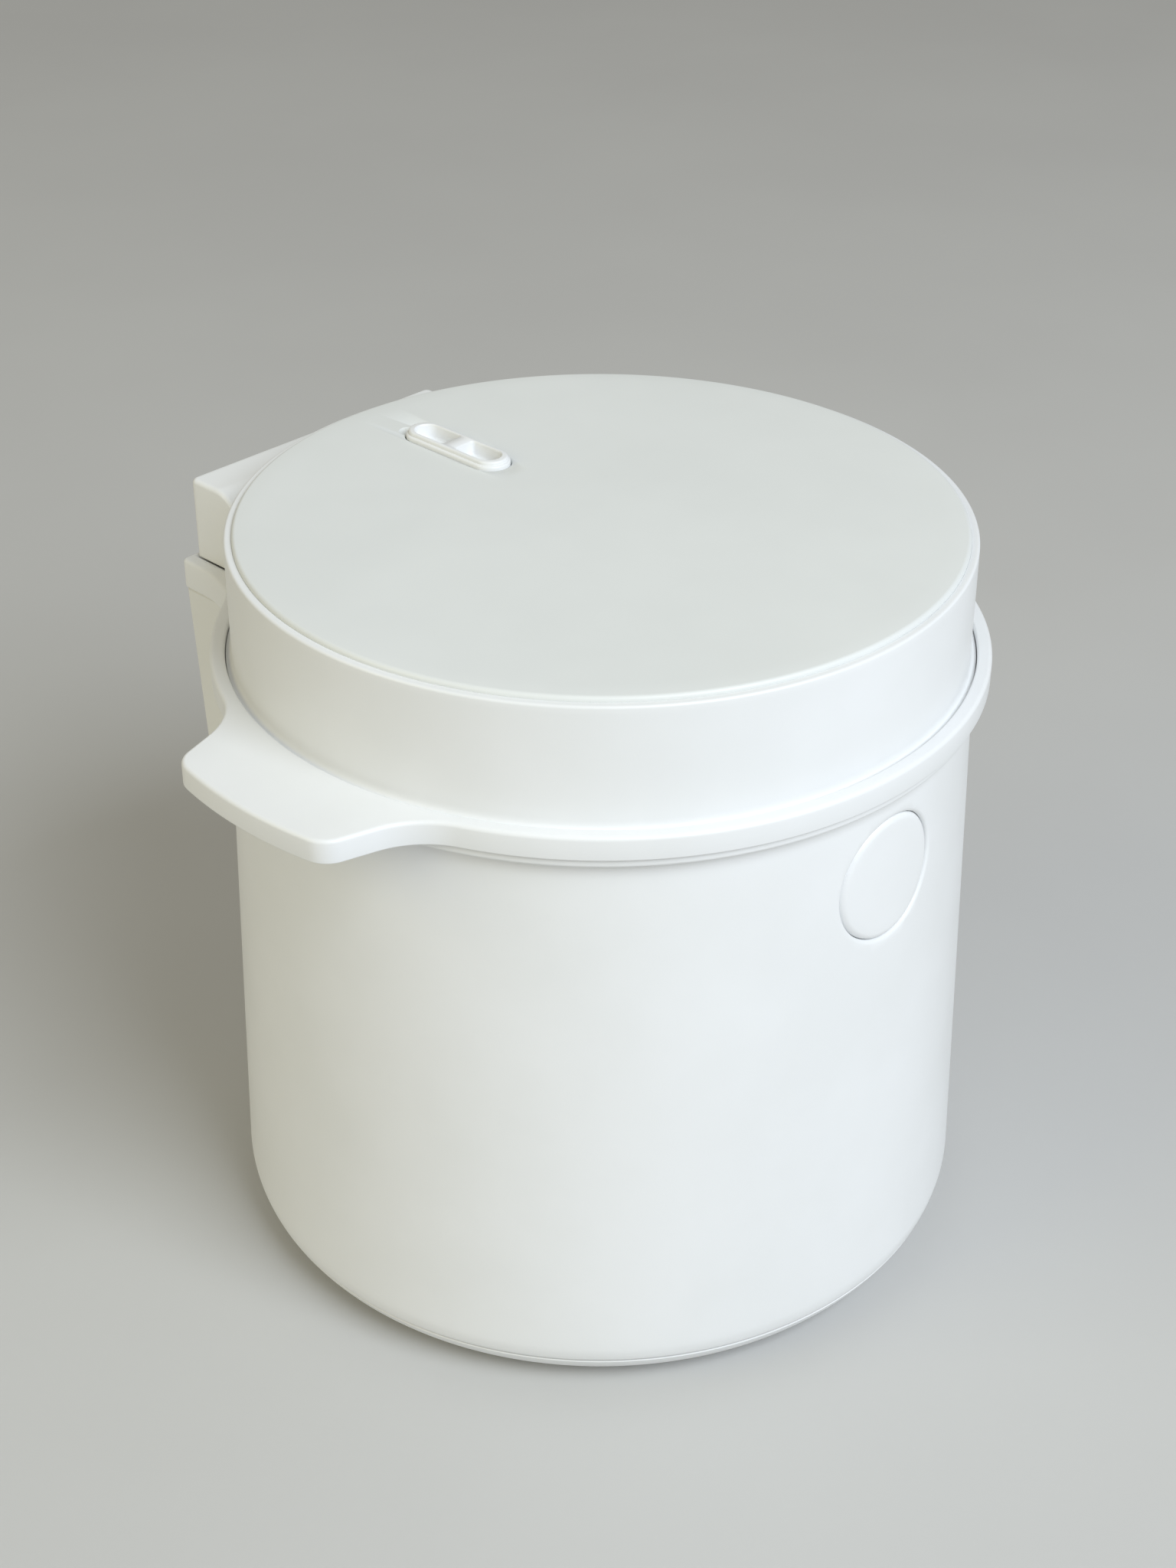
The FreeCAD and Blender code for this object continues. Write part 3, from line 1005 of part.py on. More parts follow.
steam_duct = new_body("steam_duct")
moved_to_vent(steam_duct)
turned(steam_duct, "Revolution", [
    (DUCT_BORE, FRAME_ROOF + " - duct_wall"), ("duct_radius", FRAME_ROOF + " - duct_wall"),
    ("duct_radius", ROOF_TOP),
    ("duct_radius + duct_flange", ROOF_TOP),
    ("duct_radius + duct_flange", ROOF_TOP + " + duct_flange_thickness"),
    ("duct_radius", ROOF_TOP + " + duct_flange_thickness"), ("duct_radius", SEAL_FOOT),
    (DUCT_BORE, SEAL_FOOT)])
vent_seal = new_body("vent_seal")
moved_to_vent(vent_seal)
turned(vent_seal, "Revolution", [
    (DUCT_BORE, SEAL_FOOT), (DUCT_BORE + " + seal_width", SEAL_FOOT),
    (DUCT_BORE + " + seal_width", SEAL_FOOT + " + seal_height"), (DUCT_BORE, SEAL_FOOT + " + seal_height")])

# Lid frame: the white dish under the lid that carries the inner lid plate, the gasket and the catch
lid_frame = new_body("lid_frame")
turned(lid_frame, "Revolution", [
    (FRAME_WELL, FRAME_FOOT), (FRAME_OUTER, FRAME_FOOT), (FRAME_OUTER, FRAME_FLANGE),
    (FRAME_WELL + " + frame_wall", FRAME_FLANGE), (FRAME_WELL + " + frame_wall", ROOF_TOP), ("0", ROOF_TOP),
    ("0", FRAME_ROOF), (FRAME_WELL, FRAME_ROOF)])
duct_hole = circles(
    sketch_on(lid_frame, "XY_Plane", "duct_hole"), [("vent_offset", VENT_BACK, "duct_radius + screw_fit")])
extrude(lid_frame, "Pocket", duct_hole, None, reverse=True)
frame_holes = circles(
    sketch_on(lid_frame, "XY_Plane", "frame_holes"),
    [(x, y, "screw_radius + screw_fit") for x, y in LID_SCREWS])
extrude(lid_frame, "Pocket", frame_holes, None, reverse=True)
frame_sinks = circles(
    sketch_on(lid_frame, "XY_Plane", "frame_sinks", FRAME_FOOT),
    [(x, y, "screw_head_radius + screw_fit") for x, y in LID_SCREWS])
extrude(lid_frame, "Pocket", frame_sinks, "lid_screw_sink", reverse=True)
group("lid_screws", [
    screw("lid_screw_%d" % index, x, y, FRAME_FOOT + " + lid_screw_sink")
    for index, (x, y) in enumerate(LID_SCREWS)])

# Inner lid plate with its gasket and the clip that holds it
INNER_EDGE = "(%s + gasket_grip)" % GASKET_INNER
inner_lid_plate = new_body("inner_lid_plate")
turned(inner_lid_plate, "Revolution", [
    ("clip_radius + screw_fit", INNER_PLATE), (INNER_EDGE, INNER_PLATE), (INNER_EDGE, INNER_PLATE_TOP),
    ("clip_radius + screw_fit", INNER_PLATE_TOP)])
ports = [("vent_offset", VENT_BACK, "steam_hole")]
for step in range(int(number("steam_port_count"))):
    turn = "%d * 360 / steam_port_count" % step
    ports.append((
        "vent_offset + steam_port_circle * cos(%s)" % turn,
        "%s + steam_port_circle * sin(%s)" % (VENT_BACK, turn),
        "steam_hole"))
steam_ports = circles(sketch_on(inner_lid_plate, "XY_Plane", "steam_ports"), ports)
extrude(inner_lid_plate, "Pocket", steam_ports, None, reverse=True)
inner_lid_gasket = new_body("inner_lid_gasket")
turned(inner_lid_gasket, "Revolution", [
    (GASKET_INNER, GASKET_FOOT), (GASKET_OUTER, GASKET_FOOT),
    (GASKET_OUTER, GASKET_FOOT + " + gasket_height"),
    (GASKET_INNER, GASKET_FOOT + " + gasket_height"), (GASKET_INNER, INNER_PLATE_TOP),
    (INNER_EDGE, INNER_PLATE_TOP), (INNER_EDGE, INNER_PLATE), (GASKET_INNER, INNER_PLATE)])
inner_lid_clip = new_body("inner_lid_clip")
turned(inner_lid_clip, "Revolution", [
    ("0", INNER_PLATE + " - clip_head_height"), ("clip_head", INNER_PLATE + " - clip_head_height"),
    ("clip_head", INNER_PLATE), ("clip_radius", INNER_PLATE), ("clip_radius", FRAME_ROOF), ("0", FRAME_ROOF)])

# Lid catch: a tongue under the lid frame with a tooth for the latch
catch_face = minus(LATCH_AXIS + " - catch_front")
catch_tip = minus(LATCH_AXIS + " - catch_front + catch_tooth")
catch_rear = minus(LATCH_AXIS + " - catch_front - catch_thickness")
CATCH_FOOT = "(%s + catch_foot)" % LATCH_HEIGHT
lid_catch = new_body("lid_catch")
catch_side = outline(sketch_on(lid_catch, "YZ_Plane", "side"), [
    (catch_tip, CATCH_FOOT), (catch_rear, CATCH_FOOT), (catch_rear, FRAME_FOOT), (catch_face, FRAME_FOOT),
    (catch_face, CATCH_FOOT + " + catch_tooth_height"), (catch_tip, CATCH_FOOT + " + catch_tooth_height")])
extrude(lid_catch, "Pad", catch_side, "2 * catch_half_width", both=True)

# Latch lever: a rocker whose lower arm is pushed by the button and whose hook stands before the catch
latch_y = minus(LATCH_AXIS)
latch_lever = new_body("latch_lever")
arm_face = "%s - lever_front" % latch_y
arm_rear = "%s - lever_front + lever_thickness" % latch_y
hook_face = "%s - hook_setback" % latch_y
hook_rear = "%s - hook_setback + hook_arm" % latch_y
hook_tip = "%s - hook_setback + hook_arm + hook_nose" % latch_y
arm_foot = "%s - lever_tail" % BUTTON_HEIGHT
hook_top = "%s + hook_top" % LATCH_HEIGHT
lever_side = outline(sketch_on(latch_lever, "YZ_Plane", "side"), [
    (arm_face, arm_foot), (arm_rear, arm_foot), (arm_rear, LATCH_HEIGHT),
    (hook_rear, LATCH_HEIGHT + " + hub_radius"),
    (hook_rear, hook_top + " - hook_height"), (hook_tip, hook_top + " - hook_height"), (hook_tip, hook_top),
    (hook_face, hook_top), (hook_face, LATCH_HEIGHT), (arm_face, LATCH_HEIGHT + " - hub_radius")])
extrude(latch_lever, "Pad", lever_side, "2 * latch_half_width", both=True)
hub = circles(sketch_on(latch_lever, "YZ_Plane", "hub"), [(latch_y, LATCH_HEIGHT, "hub_radius")])
extrude(latch_lever, "Pad", hub, "2 * latch_half_width", both=True)
hub_bore = circles(
    sketch_on(latch_lever, "YZ_Plane", "hub_bore"), [(latch_y, LATCH_HEIGHT, "latch_pin_radius + screw_fit")])
extrude(latch_lever, "Pocket", hub_bore, "4 * latch_half_width", both=True)

# Latch bracket: two cheeks on a back wall, hung under the rim ring
CHEEK_INNER = "(latch_half_width + cheek_gap)"
CHEEK_OUTER = "(latch_half_width + cheek_gap + cheek)"
cheek_face = minus(LATCH_AXIS + " + cheek_front")
back_face = minus(LATCH_AXIS + " - bracket_back")
back_rear = minus(LATCH_AXIS + " - bracket_back - bracket_wall")
BACK_FOOT = "(%s + bracket_rise)" % LATCH_HEIGHT
latch_bracket = new_body("latch_bracket")
bracket_plan = outline(sketch_on(latch_bracket, "XY_Plane", "plan", BACK_FOOT), [
    (minus(CHEEK_OUTER), cheek_face), (minus(CHEEK_INNER), cheek_face), (minus(CHEEK_INNER), back_face),
    (CHEEK_INNER, back_face), (CHEEK_INNER, cheek_face), (CHEEK_OUTER, cheek_face), (CHEEK_OUTER, back_rear),
    (minus(CHEEK_OUTER), back_rear)])
extrude(latch_bracket, "Pad", bracket_plan, "%s - %s" % (FLANGE_TOP, BACK_FOOT))
cheek_foot = "%s - cheek_drop" % LATCH_HEIGHT
cheek_pad = rectangle(
    sketch_on(latch_bracket, "XY_Plane", "cheek", cheek_foot), CHEEK_INNER, cheek_face, CHEEK_OUTER,
    back_rear)
cheek_pad = extrude(latch_bracket, "Pad", cheek_pad, "%s - (%s)" % (BACK_FOOT, cheek_foot))
mirrored(latch_bracket, [cheek_pad])
cheek_bores = circles(
    sketch_on(latch_bracket, "YZ_Plane", "cheek_bores"),
    [(latch_y, LATCH_HEIGHT, "latch_pin_radius + screw_fit")])
extrude(latch_bracket, "Pocket", cheek_bores, "4 * " + CHEEK_OUTER, both=True)
named(primitive(
    "Cylinder", "latch_pin", {"Radius": "latch_pin_radius", "Height": "2 * " + CHEEK_OUTER},
    (minus(CHEEK_OUTER), latch_y, LATCH_HEIGHT), ALONG_X), "latch_pin")
coil_part(
    "latch_spring", radius=number("latch_coil"), wire=number("latch_wire"), pitch=number("latch_pitch"),
    turns=number("latch_turns"), axis=Vector(1, 0, 0), across=Vector(0, 1, 0),
    axis_start=Vector(number("latch_half_width + 3 * latch_wire"), number(latch_y), number(LATCH_HEIGHT)))

# Open button: a disc whose face follows the wall, with a push stem, and the plate that guides the stem
BUTTON_BACK = "(%s - button_thickness)" % WALL_AT_BUTTON
GUIDE_FACE = "(%s - button_travel - guide_gap)" % BUTTON_BACK
open_button = new_body("open_button")
disc = circles(
    sketch_on(open_button, "XZ_Plane", "disc", BUTTON_BACK), [("0", BUTTON_HEIGHT, "button_radius")])
extrude(open_button, "Pad", disc, "2 * button_thickness")
BUTTON_LOW = "(%s - 2 * button_radius)" % BUTTON_HEIGHT
BUTTON_HIGH = "(%s + 2 * button_radius)" % BUTTON_HEIGHT
button_face = turned(open_button, "Groove", [
    (wall_radius(BUTTON_LOW), BUTTON_LOW), (wall_radius(BUTTON_LOW) + " + 4 * button_thickness", BUTTON_LOW),
    (wall_radius(BUTTON_HIGH) + " + 4 * button_thickness", BUTTON_HIGH),
    (wall_radius(BUTTON_HIGH), BUTTON_HIGH)])
button_face = rounded(open_button, button_face, "button_round", lambda edge: all(
    vertex.Y < -number(BUTTON_BACK) - 0.1 for vertex in edge.Vertexes)
    and edge.Length > number("4 * button_radius"))
relief = rectangle(
    sketch_on(open_button, "XZ_Plane", "relief", BUTTON_BACK), minus(CHEEK_INNER),
    LATCH_HEIGHT + " - hub_radius - 2 * button_gap", CHEEK_INNER, BUTTON_HIGH)
extrude(open_button, "Pocket", relief, "button_relief", reverse=True)
stem = circles(sketch_on(open_button, "XZ_Plane", "stem", STEM_TIP), [("0", BUTTON_HEIGHT, "stem_radius")])
stem = extrude(open_button, "Pad", stem, "%s - %s + button_round" % (BUTTON_BACK, STEM_TIP))
rounded(open_button, stem, "stem_dome", lambda edge: all(
    abs(vertex.Y + number(STEM_TIP)) < 1e-3 for vertex in edge.Vertexes))

GUIDE_TOP = "(%s + guide_height / 2)" % BUTTON_HEIGHT
GUIDE_FOOT = "(%s - guide_height / 2)" % BUTTON_HEIGHT
LEG_FACE = "sqrt((%s - body_wall - guide_clear) ^ 2 - guide_half_width ^ 2)" % wall_radius(GUIDE_TOP)
guide_inner = "guide_half_width - guide_leg"
button_guide = new_body("button_guide")
guide_plan = outline(sketch_on(button_guide, "XY_Plane", "plan", GUIDE_FOOT), [
    (minus("guide_half_width"), minus(LEG_FACE)), (minus(guide_inner), minus(LEG_FACE)),
    (minus(guide_inner), minus(GUIDE_FACE)), (guide_inner, minus(GUIDE_FACE)), (guide_inner, minus(LEG_FACE)),
    ("guide_half_width", minus(LEG_FACE)), ("guide_half_width", minus(GUIDE_FACE + " - guide_plate")),
    (minus("guide_half_width"), minus(GUIDE_FACE + " - guide_plate"))])
extrude(button_guide, "Pad", guide_plan, "guide_height")
guide_hole = circles(
    sketch_on(button_guide, "XZ_Plane", "stem_hole"), [("0", BUTTON_HEIGHT, "stem_radius + stem_play")])
extrude(button_guide, "Pocket", guide_hole, None, reverse=True)

# Inner pot and the liner round it
inner_pot = new_body("inner_pot")
POT_INNER = "(pot_radius - pot_wall)"
turned(inner_pot, "Revolution", [
    ("0", POT_FOOT), ("pot_radius - pot_round", POT_FOOT),
    ("pot_radius", POT_FOOT + " + pot_round", "pot_round", -1),
    ("pot_radius", POT_RIM), (POT_FLANGE, POT_RIM), (POT_FLANGE, POT_TOP), (POT_INNER, POT_TOP),
    (POT_INNER, POT_FOOT + " + pot_round"),
    ("pot_radius - pot_round", POT_FOOT + " + pot_wall", "pot_round - pot_wall", 1),
    ("0", POT_FOOT + " + pot_wall")])
inner_liner = new_body("inner_liner")
turned(inner_liner, "Revolution", [
    ("liner_floor_hole", LINER_FOOT), (LINER_OUTER, LINER_FOOT), (LINER_OUTER, FLANGE_TOP + " - liner_wall"),
    (LINER_OUTER + " + liner_flange_width", FLANGE_TOP + " - liner_wall"),
    (LINER_OUTER + " + liner_flange_width", FLANGE_TOP), (LINER_INNER, FLANGE_TOP),
    (LINER_INNER, LINER_FLOOR),
    ("liner_floor_hole", LINER_FLOOR)])

# Heating plate with the element in a groove under it, spacers and thermal fuse
heating_plate = new_body("heating_plate")
GROOVE = "(element_radius + element_play)"
turned(heating_plate, "Revolution", [
    ("plate_bore", PLATE_FOOT), (ELEMENT_CIRCLE + " - " + GROOVE, PLATE_FOOT),
    (ELEMENT_CIRCLE, "%s + %s" % (PLATE_FOOT, GROOVE), GROOVE, 1),
    (ELEMENT_CIRCLE + " + " + GROOVE, PLATE_FOOT, GROOVE, 1), (PLATE_OUTER, PLATE_FOOT),
    (PLATE_OUTER, POT_FOOT + " - pot_wall"), (PLATE_OUTER + " - pot_wall", POT_FOOT),
    ("plate_bore", POT_FOOT)])
tube = primitive(
    "Torus", "element_tube",
    {"Radius1": ELEMENT_CIRCLE, "Radius2": "element_radius", "Angle3": "element_turn"},
    ("0", "0", PLATE_FOOT))
terminals = []
for index, turn in enumerate(("0", "element_turn")):
    terminals.append(primitive(
        "Cylinder", "terminal_%d" % index, {"Radius": "element_radius / 2", "Height": "terminal_length"},
        ("%s * cos(%s)" % (ELEMENT_CIRCLE, turn), "%s * sin(%s)" % (ELEMENT_CIRCLE, turn),
         PLATE_FOOT + " - terminal_length")))
element = doc.addObject("Part::MultiFuse", "heating_element")
element.Shapes = [tube] + terminals
named(element, "heating_element")
spacers = []
for step in range(int(number("spacer_count"))):
    turn = "(90 + %d * 360 / spacer_count)" % step
    spacers.append(primitive(
        "Cylinder", "spacer_%d" % step, {"Radius": "spacer_radius", "Height": "spacer_height"},
        ("%s * cos%s" % (SPACER_CIRCLE, turn), "%s * sin%s" % (SPACER_CIRCLE, turn), LINER_FLOOR)))
group("plate_spacers", spacers)
named(primitive(
    "Cylinder", "thermal_fuse", {"Radius": "fuse_radius", "Height": "fuse_length"},
    (minus("fuse_length / 2"), "fuse_setback", PLATE_FOOT + " - fuse_radius - 2 * element_play"), ALONG_X),
    "thermal_fuse")

# Bottom sensor: a sprung head that the pot presses, on a bracket under the liner's floor
BRACKET_FOOT = "(%s - bracket_thickness)" % LINER_FOOT
SENSOR_TOP = "(%s - sensor_gap)" % POT_FOOT
SENSOR_SHOULDER = "(%s - sensor_head)" % SENSOR_TOP
CLIP_TOP = "(%s - sensor_gap)" % BRACKET_FOOT
thermal_sensor = new_body("thermal_sensor")
turned(thermal_sensor, "Revolution", [
    ("0", BRACKET_FOOT + " - sensor_tail"), ("sensor_stem", BRACKET_FOOT + " - sensor_tail"),
    ("sensor_stem", CLIP_TOP + " - sensor_clip_height"), ("sensor_clip", CLIP_TOP + " - sensor_clip_height"),
    ("sensor_clip", CLIP_TOP), ("sensor_stem", CLIP_TOP), ("sensor_stem", SENSOR_SHOULDER),
    ("sensor_radius", SENSOR_SHOULDER), ("sensor_radius", SENSOR_TOP), ("0", SENSOR_TOP)])
sensor_bracket = new_body("sensor_bracket")
strap = stadium(
    sketch_on(sensor_bracket, "XY_Plane", "strap", BRACKET_FOOT), "0", "0", "bracket_half_length",
    "bracket_half_width")
extrude(sensor_bracket, "Pad", strap, "bracket_thickness")
stem_hole = circles(
    sketch_on(sensor_bracket, "XY_Plane", "stem_hole"), [("0", "0", "sensor_stem + sensor_play")])
extrude(sensor_bracket, "Pocket", stem_hole, None, reverse=True)
COIL_RISE = "(%s - %s - 2 * coil_wire - sensor_play)" % (SENSOR_SHOULDER, LINER_FOOT)
coil_part(
    "sensor_spring", radius=number("coil_radius"), wire=number("coil_wire"),
    pitch=number(COIL_RISE + " / coil_turns"), turns=number("coil_turns"), axis=Vector(0, 0, 1),
    across=Vector(1, 0, 0), axis_start=Vector(0, 0, number(LINER_FOOT + " + coil_wire + sensor_play / 2")))

# Power board on the posts of the base, with its largest components
named(primitive(
    "Box", "power_board", {"Length": "board_width", "Width": "board_depth", "Height": "board_thickness"},
    (minus("board_width / 2"), "board_setback - board_depth / 2", BOARD_FOOT)), "power_board")
named(primitive(
    "Box", "relay", {"Length": "relay_length", "Width": "relay_width", "Height": "relay_height"},
    ("board_width / 2 - post_inset - relay_length - post_radius",
     "board_setback - relay_width / 2", BOARD_TOP)),
    "relay")
CORE_LEFT = "(post_inset + post_radius - board_width / 2)"
core = primitive(
    "Box", "transformer_core",
    {"Length": "transformer_width", "Width": "transformer_length", "Height": "transformer_height"},
    (CORE_LEFT, "board_setback - transformer_length / 2", BOARD_TOP))
winding = primitive(
    "Box", "transformer_winding",
    {"Length": "transformer_width + bobbin_margin", "Width": "transformer_length / 2",
     "Height": "transformer_height - 2 * bobbin_margin"},
    (CORE_LEFT + " - bobbin_margin / 2", "board_setback - transformer_length / 4",
     BOARD_TOP + " + bobbin_margin"))
named(boolean("Fuse", "transformer", core, winding), "transformer")
group("filter_capacitors", [
    primitive(
        "Cylinder", "capacitor_%d" % index, {"Radius": "capacitor_radius", "Height": "capacitor_height"},
        ("0", "board_setback %s 1.5 * capacitor_radius" % side, BOARD_TOP))
    for index, side in enumerate("+-")])

# Control carrier behind the front wall, with light wells, and the board on its back
CARRIER_TOP = "(%s - button_radius - carrier_drop)" % BUTTON_HEIGHT
CARRIER_FOOT = "(%s - carrier_height)" % CARRIER_TOP
CARRIER_FACE = "(%s - body_wall - carrier_gap)" % wall_radius(CARRIER_TOP)
CARRIER_BACK = "(%s - carrier_depth)" % CARRIER_FACE
CARRIER_SIDE = "sqrt(%s ^ 2 - carrier_half_width ^ 2)" % CARRIER_FACE
control_carrier = new_body("control_carrier")
carrier_plan = outline(sketch_on(control_carrier, "XY_Plane", "plan", CARRIER_FOOT), [
    ("carrier_half_width", minus(CARRIER_SIDE), CARRIER_FACE, -1),
    ("carrier_half_width", minus(CARRIER_BACK)),
    (minus("carrier_half_width"), minus(CARRIER_BACK)), (minus("carrier_half_width"), minus(CARRIER_SIDE))])
extrude(control_carrier, "Pad", carrier_plan, "carrier_height")
DISPLAY_FOOT = "(%s - carrier_drop - display_height)" % CARRIER_TOP
display_well = rectangle(
    sketch_on(control_carrier, "XZ_Plane", "display_well"), minus("display_half_width"), DISPLAY_FOOT,
    "display_half_width", DISPLAY_FOOT + " + display_height")
extrude(control_carrier, "Pocket", display_well, None, reverse=True)
key_wells = circles(
    sketch_on(control_carrier, "XZ_Plane", "key_wells"),
    [("%s key_spacing" % place, DISPLAY_FOOT + " - carrier_drop - key_radius", "key_radius")
     for place in ("-1.5 *", "-0.5 *", "0.5 *", "1.5 *")])
extrude(control_carrier, "Pocket", key_wells, None, reverse=True)
named(primitive(
    "Box", "control_board",
    {"Length": "2 * carrier_half_width", "Width": "board_thickness", "Height": "carrier_height"},
    (minus("carrier_half_width"), minus(CARRIER_BACK), CARRIER_FOOT)), "control_board")

# Power inlet at the rear, held by a flange inside the wall, with three pins
INLET_FACE = "(%s + inlet_proud)" % wall_radius("inlet_height")
INLET_REACH = "(inlet_half_width + inlet_flange)"
INLET_STOP = "(sqrt((%s - body_wall - inlet_gap) ^ 2 - %s ^ 2))" % (
    wall_radius("(inlet_height + inlet_half_height + inlet_flange)"), INLET_REACH)
power_inlet = new_body("power_inlet")
inlet_sides = [minus("inlet_half_width"), "inlet_height - inlet_half_height", "inlet_half_width",
               "inlet_height + inlet_half_height"]
inlet_block = rectangle(sketch_on(power_inlet, "XZ_Plane", "block", minus(INLET_FACE)), *inlet_sides)
inlet_block = extrude(power_inlet, "Pad", inlet_block, "inlet_depth")
rounded(power_inlet, inlet_block, "inlet_corner", lambda edge: abs(
    edge.Vertexes[0].Y - edge.Vertexes[-1].Y) > number("inlet_depth / 2"))
inlet_flange = rectangle(
    sketch_on(power_inlet, "XZ_Plane", "flange", minus(INLET_STOP)), minus(INLET_REACH),
    "inlet_height - inlet_half_height - inlet_flange", INLET_REACH,
    "inlet_height + inlet_half_height + inlet_flange")
extrude(power_inlet, "Pad", inlet_flange, "inlet_flange_thickness")
socket = rectangle(
    sketch_on(power_inlet, "XZ_Plane", "socket", minus(INLET_FACE)), minus("inlet_half_width - inlet_wall"),
    "inlet_height - inlet_half_height + inlet_wall", "inlet_half_width - inlet_wall",
    "inlet_height + inlet_half_height - inlet_wall")
extrude(power_inlet, "Pocket", socket, "inlet_socket", reverse=True)
INLET_PINS = [("-pin_spacing", "-pin_rise"), ("0", "pin_rise"), ("pin_spacing", "-pin_rise")]
pin_holes = sketch_on(power_inlet, "XZ_Plane", "pin_holes")
for x, rise in INLET_PINS:
    low = "inlet_height + %s - pin_half_height - screw_fit" % rise
    high = "inlet_height + %s + pin_half_height + screw_fit" % rise
    rectangle(
        pin_holes, x + " - pin_half_thickness - screw_fit", low,
        x + " + pin_half_thickness + screw_fit", high)
extrude(power_inlet, "Pocket", pin_holes, None)
group("inlet_pins", [
    primitive(
        "Box", "inlet_pin_%d" % index,
        {"Length": "2 * pin_half_thickness", "Width": "pin_length + pin_tail",
         "Height": "2 * pin_half_height"},
        ("%s - pin_half_thickness" % x, "%s - inlet_socket - pin_tail" % INLET_FACE,
         "inlet_height + %s - pin_half_height" % rise))
    for index, (x, rise) in enumerate(INLET_PINS)])

# Condensate cup: a tapered tray under the pedestal whose front follows the body
CUP_TOP = "(%s - cup_gap)" % SKIRT_FOOT


def cup_form(label, inset, floor, gap, rise):
    """A tapered block behind the body, smaller by an inset, with its front cut to the wall plus a gap."""
    body = doc.addObject("PartDesign::Body", label)
    top = "(%s + %s)" % (CUP_TOP, rise)
    rear = "%s - cup_inset - %s" % (PEDESTAL_BACK, inset)
    half = "cup_half - " + inset
    plan = rectangle(sketch_on(body, "XY_Plane", "plan", top), minus(half), LINER_INNER, half, rear)
    form = extrude(
        body, "Pad", plan, "cup_height + %s - %s" % (rise, floor), reverse=True, taper="-cup_taper")
    rear_y = number(rear)
    foot_z = number("%s - cup_height + %s" % (CUP_TOP, floor))
    form = rounded(body, form, "cup_corner - " + inset, lambda edge: (
        abs(edge.Vertexes[0].Z - edge.Vertexes[-1].Z) > number("cup_height / 2")
        and max(vertex.Y for vertex in edge.Vertexes) > rear_y - 1))
    rounded(body, form, "cup_round - " + inset, lambda edge: (
        all(abs(vertex.Z - foot_z) < 1e-3 for vertex in edge.Vertexes)
        and edge.BoundBox.YMin > rear_y - number("cup_height / 4")))
    low = "(%s - 2 * cup_height)" % CUP_TOP
    step = "(body_height - %s)" % gap
    high = "(%s + cup_height)" % CUP_TOP
    turned(body, "Groove", [
        ("0", low), (wall_radius(low) + " + " + gap, low), (wall_radius(step) + " + " + gap, step),
        (FLANGE_OUTER + " + " + gap, step), (FLANGE_OUTER + " + " + gap, high), ("0", high)])
    return body


named(boolean(
    "Cut", "drip_cup", cup_form("cup_outside", "0", "0", "cup_gap", "0"),
    cup_form("cup_inside", "cup_wall", "cup_floor", "(cup_gap + cup_wall)", "cup_wall")), "drip_cup")

# Every object is checked, and every sub-part is written under its own name
doc.recompute()
for thing in doc.Objects:
    if "Invalid" in thing.State or "Error" in thing.State:
        raise RuntimeError("%s did not recompute: %s" % (thing.Label, thing.State))
os.makedirs("parts", exist_ok=True)
for thing in PARTS:
    shape = thing.Shape
    if shape.isNull() or not shape.isValid() or not shape.Solids:
        raise RuntimeError("%s has no valid solid" % thing.Label)
    shape.exportStep("parts/%s.step" % thing.Label)
    box = shape.BoundBox
    print("%-18s solids %d  x %.1f to %.1f  y %.1f to %.1f  z %.1f to %.1f" % (
        thing.Label, len(shape.Solids), box.XMin, box.XMax, box.YMin, box.YMax, box.ZMin, box.ZMax))
print("%d sub-parts written" % len(PARTS))
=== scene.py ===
# %% [markdown]
# # A hinged-lid rice cooker
#
# This lesson dresses a packed set of solids as a white, round rice cooker. The solids give the places
# and the main sizes. Each cell below builds one piece as a fine mesh, or gives one finish, and sets the
# piece on the moving body that carries it. Sizes are written in millimetres, as on a maker's drawing,
# and are turned into metres when a mesh is made.

# %% Load the solids
import json
import math

import bmesh
import bpy
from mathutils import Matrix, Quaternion, Vector


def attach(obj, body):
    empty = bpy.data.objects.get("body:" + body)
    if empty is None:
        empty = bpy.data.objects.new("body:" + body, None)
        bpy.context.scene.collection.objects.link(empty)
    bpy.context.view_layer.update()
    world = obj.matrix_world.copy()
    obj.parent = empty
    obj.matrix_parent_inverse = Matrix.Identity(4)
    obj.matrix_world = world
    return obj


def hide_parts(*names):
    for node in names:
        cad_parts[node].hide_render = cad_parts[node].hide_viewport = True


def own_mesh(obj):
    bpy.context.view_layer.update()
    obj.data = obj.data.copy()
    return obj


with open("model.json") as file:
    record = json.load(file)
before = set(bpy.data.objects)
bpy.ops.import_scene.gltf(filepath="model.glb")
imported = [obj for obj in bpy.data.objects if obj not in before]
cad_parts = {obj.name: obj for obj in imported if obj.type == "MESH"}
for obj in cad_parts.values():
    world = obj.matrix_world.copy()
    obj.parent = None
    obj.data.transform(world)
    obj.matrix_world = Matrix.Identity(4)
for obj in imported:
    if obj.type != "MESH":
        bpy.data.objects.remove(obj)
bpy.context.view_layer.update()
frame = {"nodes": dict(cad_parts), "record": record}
NODES = frame["nodes"]
MM = 0.001

# %% [markdown]
# ## Tools for making meshes
#
# Nearly everything here is turned on a lathe or stretched between outlines, as a moulder's tool would
# be. So two makers do most of the work: one turns a profile about the upright axis, and one stretches a
# skin over a row of loops. A modifier stack could do the same, but plain loops keep each edge's
# rounding where the drawing puts it.

# %% Outlines


def arc(centre, radius, start, finish, steps=12):
    """Points on a circle between two angles in degrees."""
    points = []
    for step in range(steps + 1):
        angle = math.radians(start + (finish - start) * step / steps)
        points.append((centre[0] + radius * math.cos(angle), centre[1] + radius * math.sin(angle)))
    return points


def circle(centre, radius, count=36):
    """Points all round a circle, without the first one again at the end."""
    return arc(centre, radius, 0, 360 - 360 / count, count - 1)


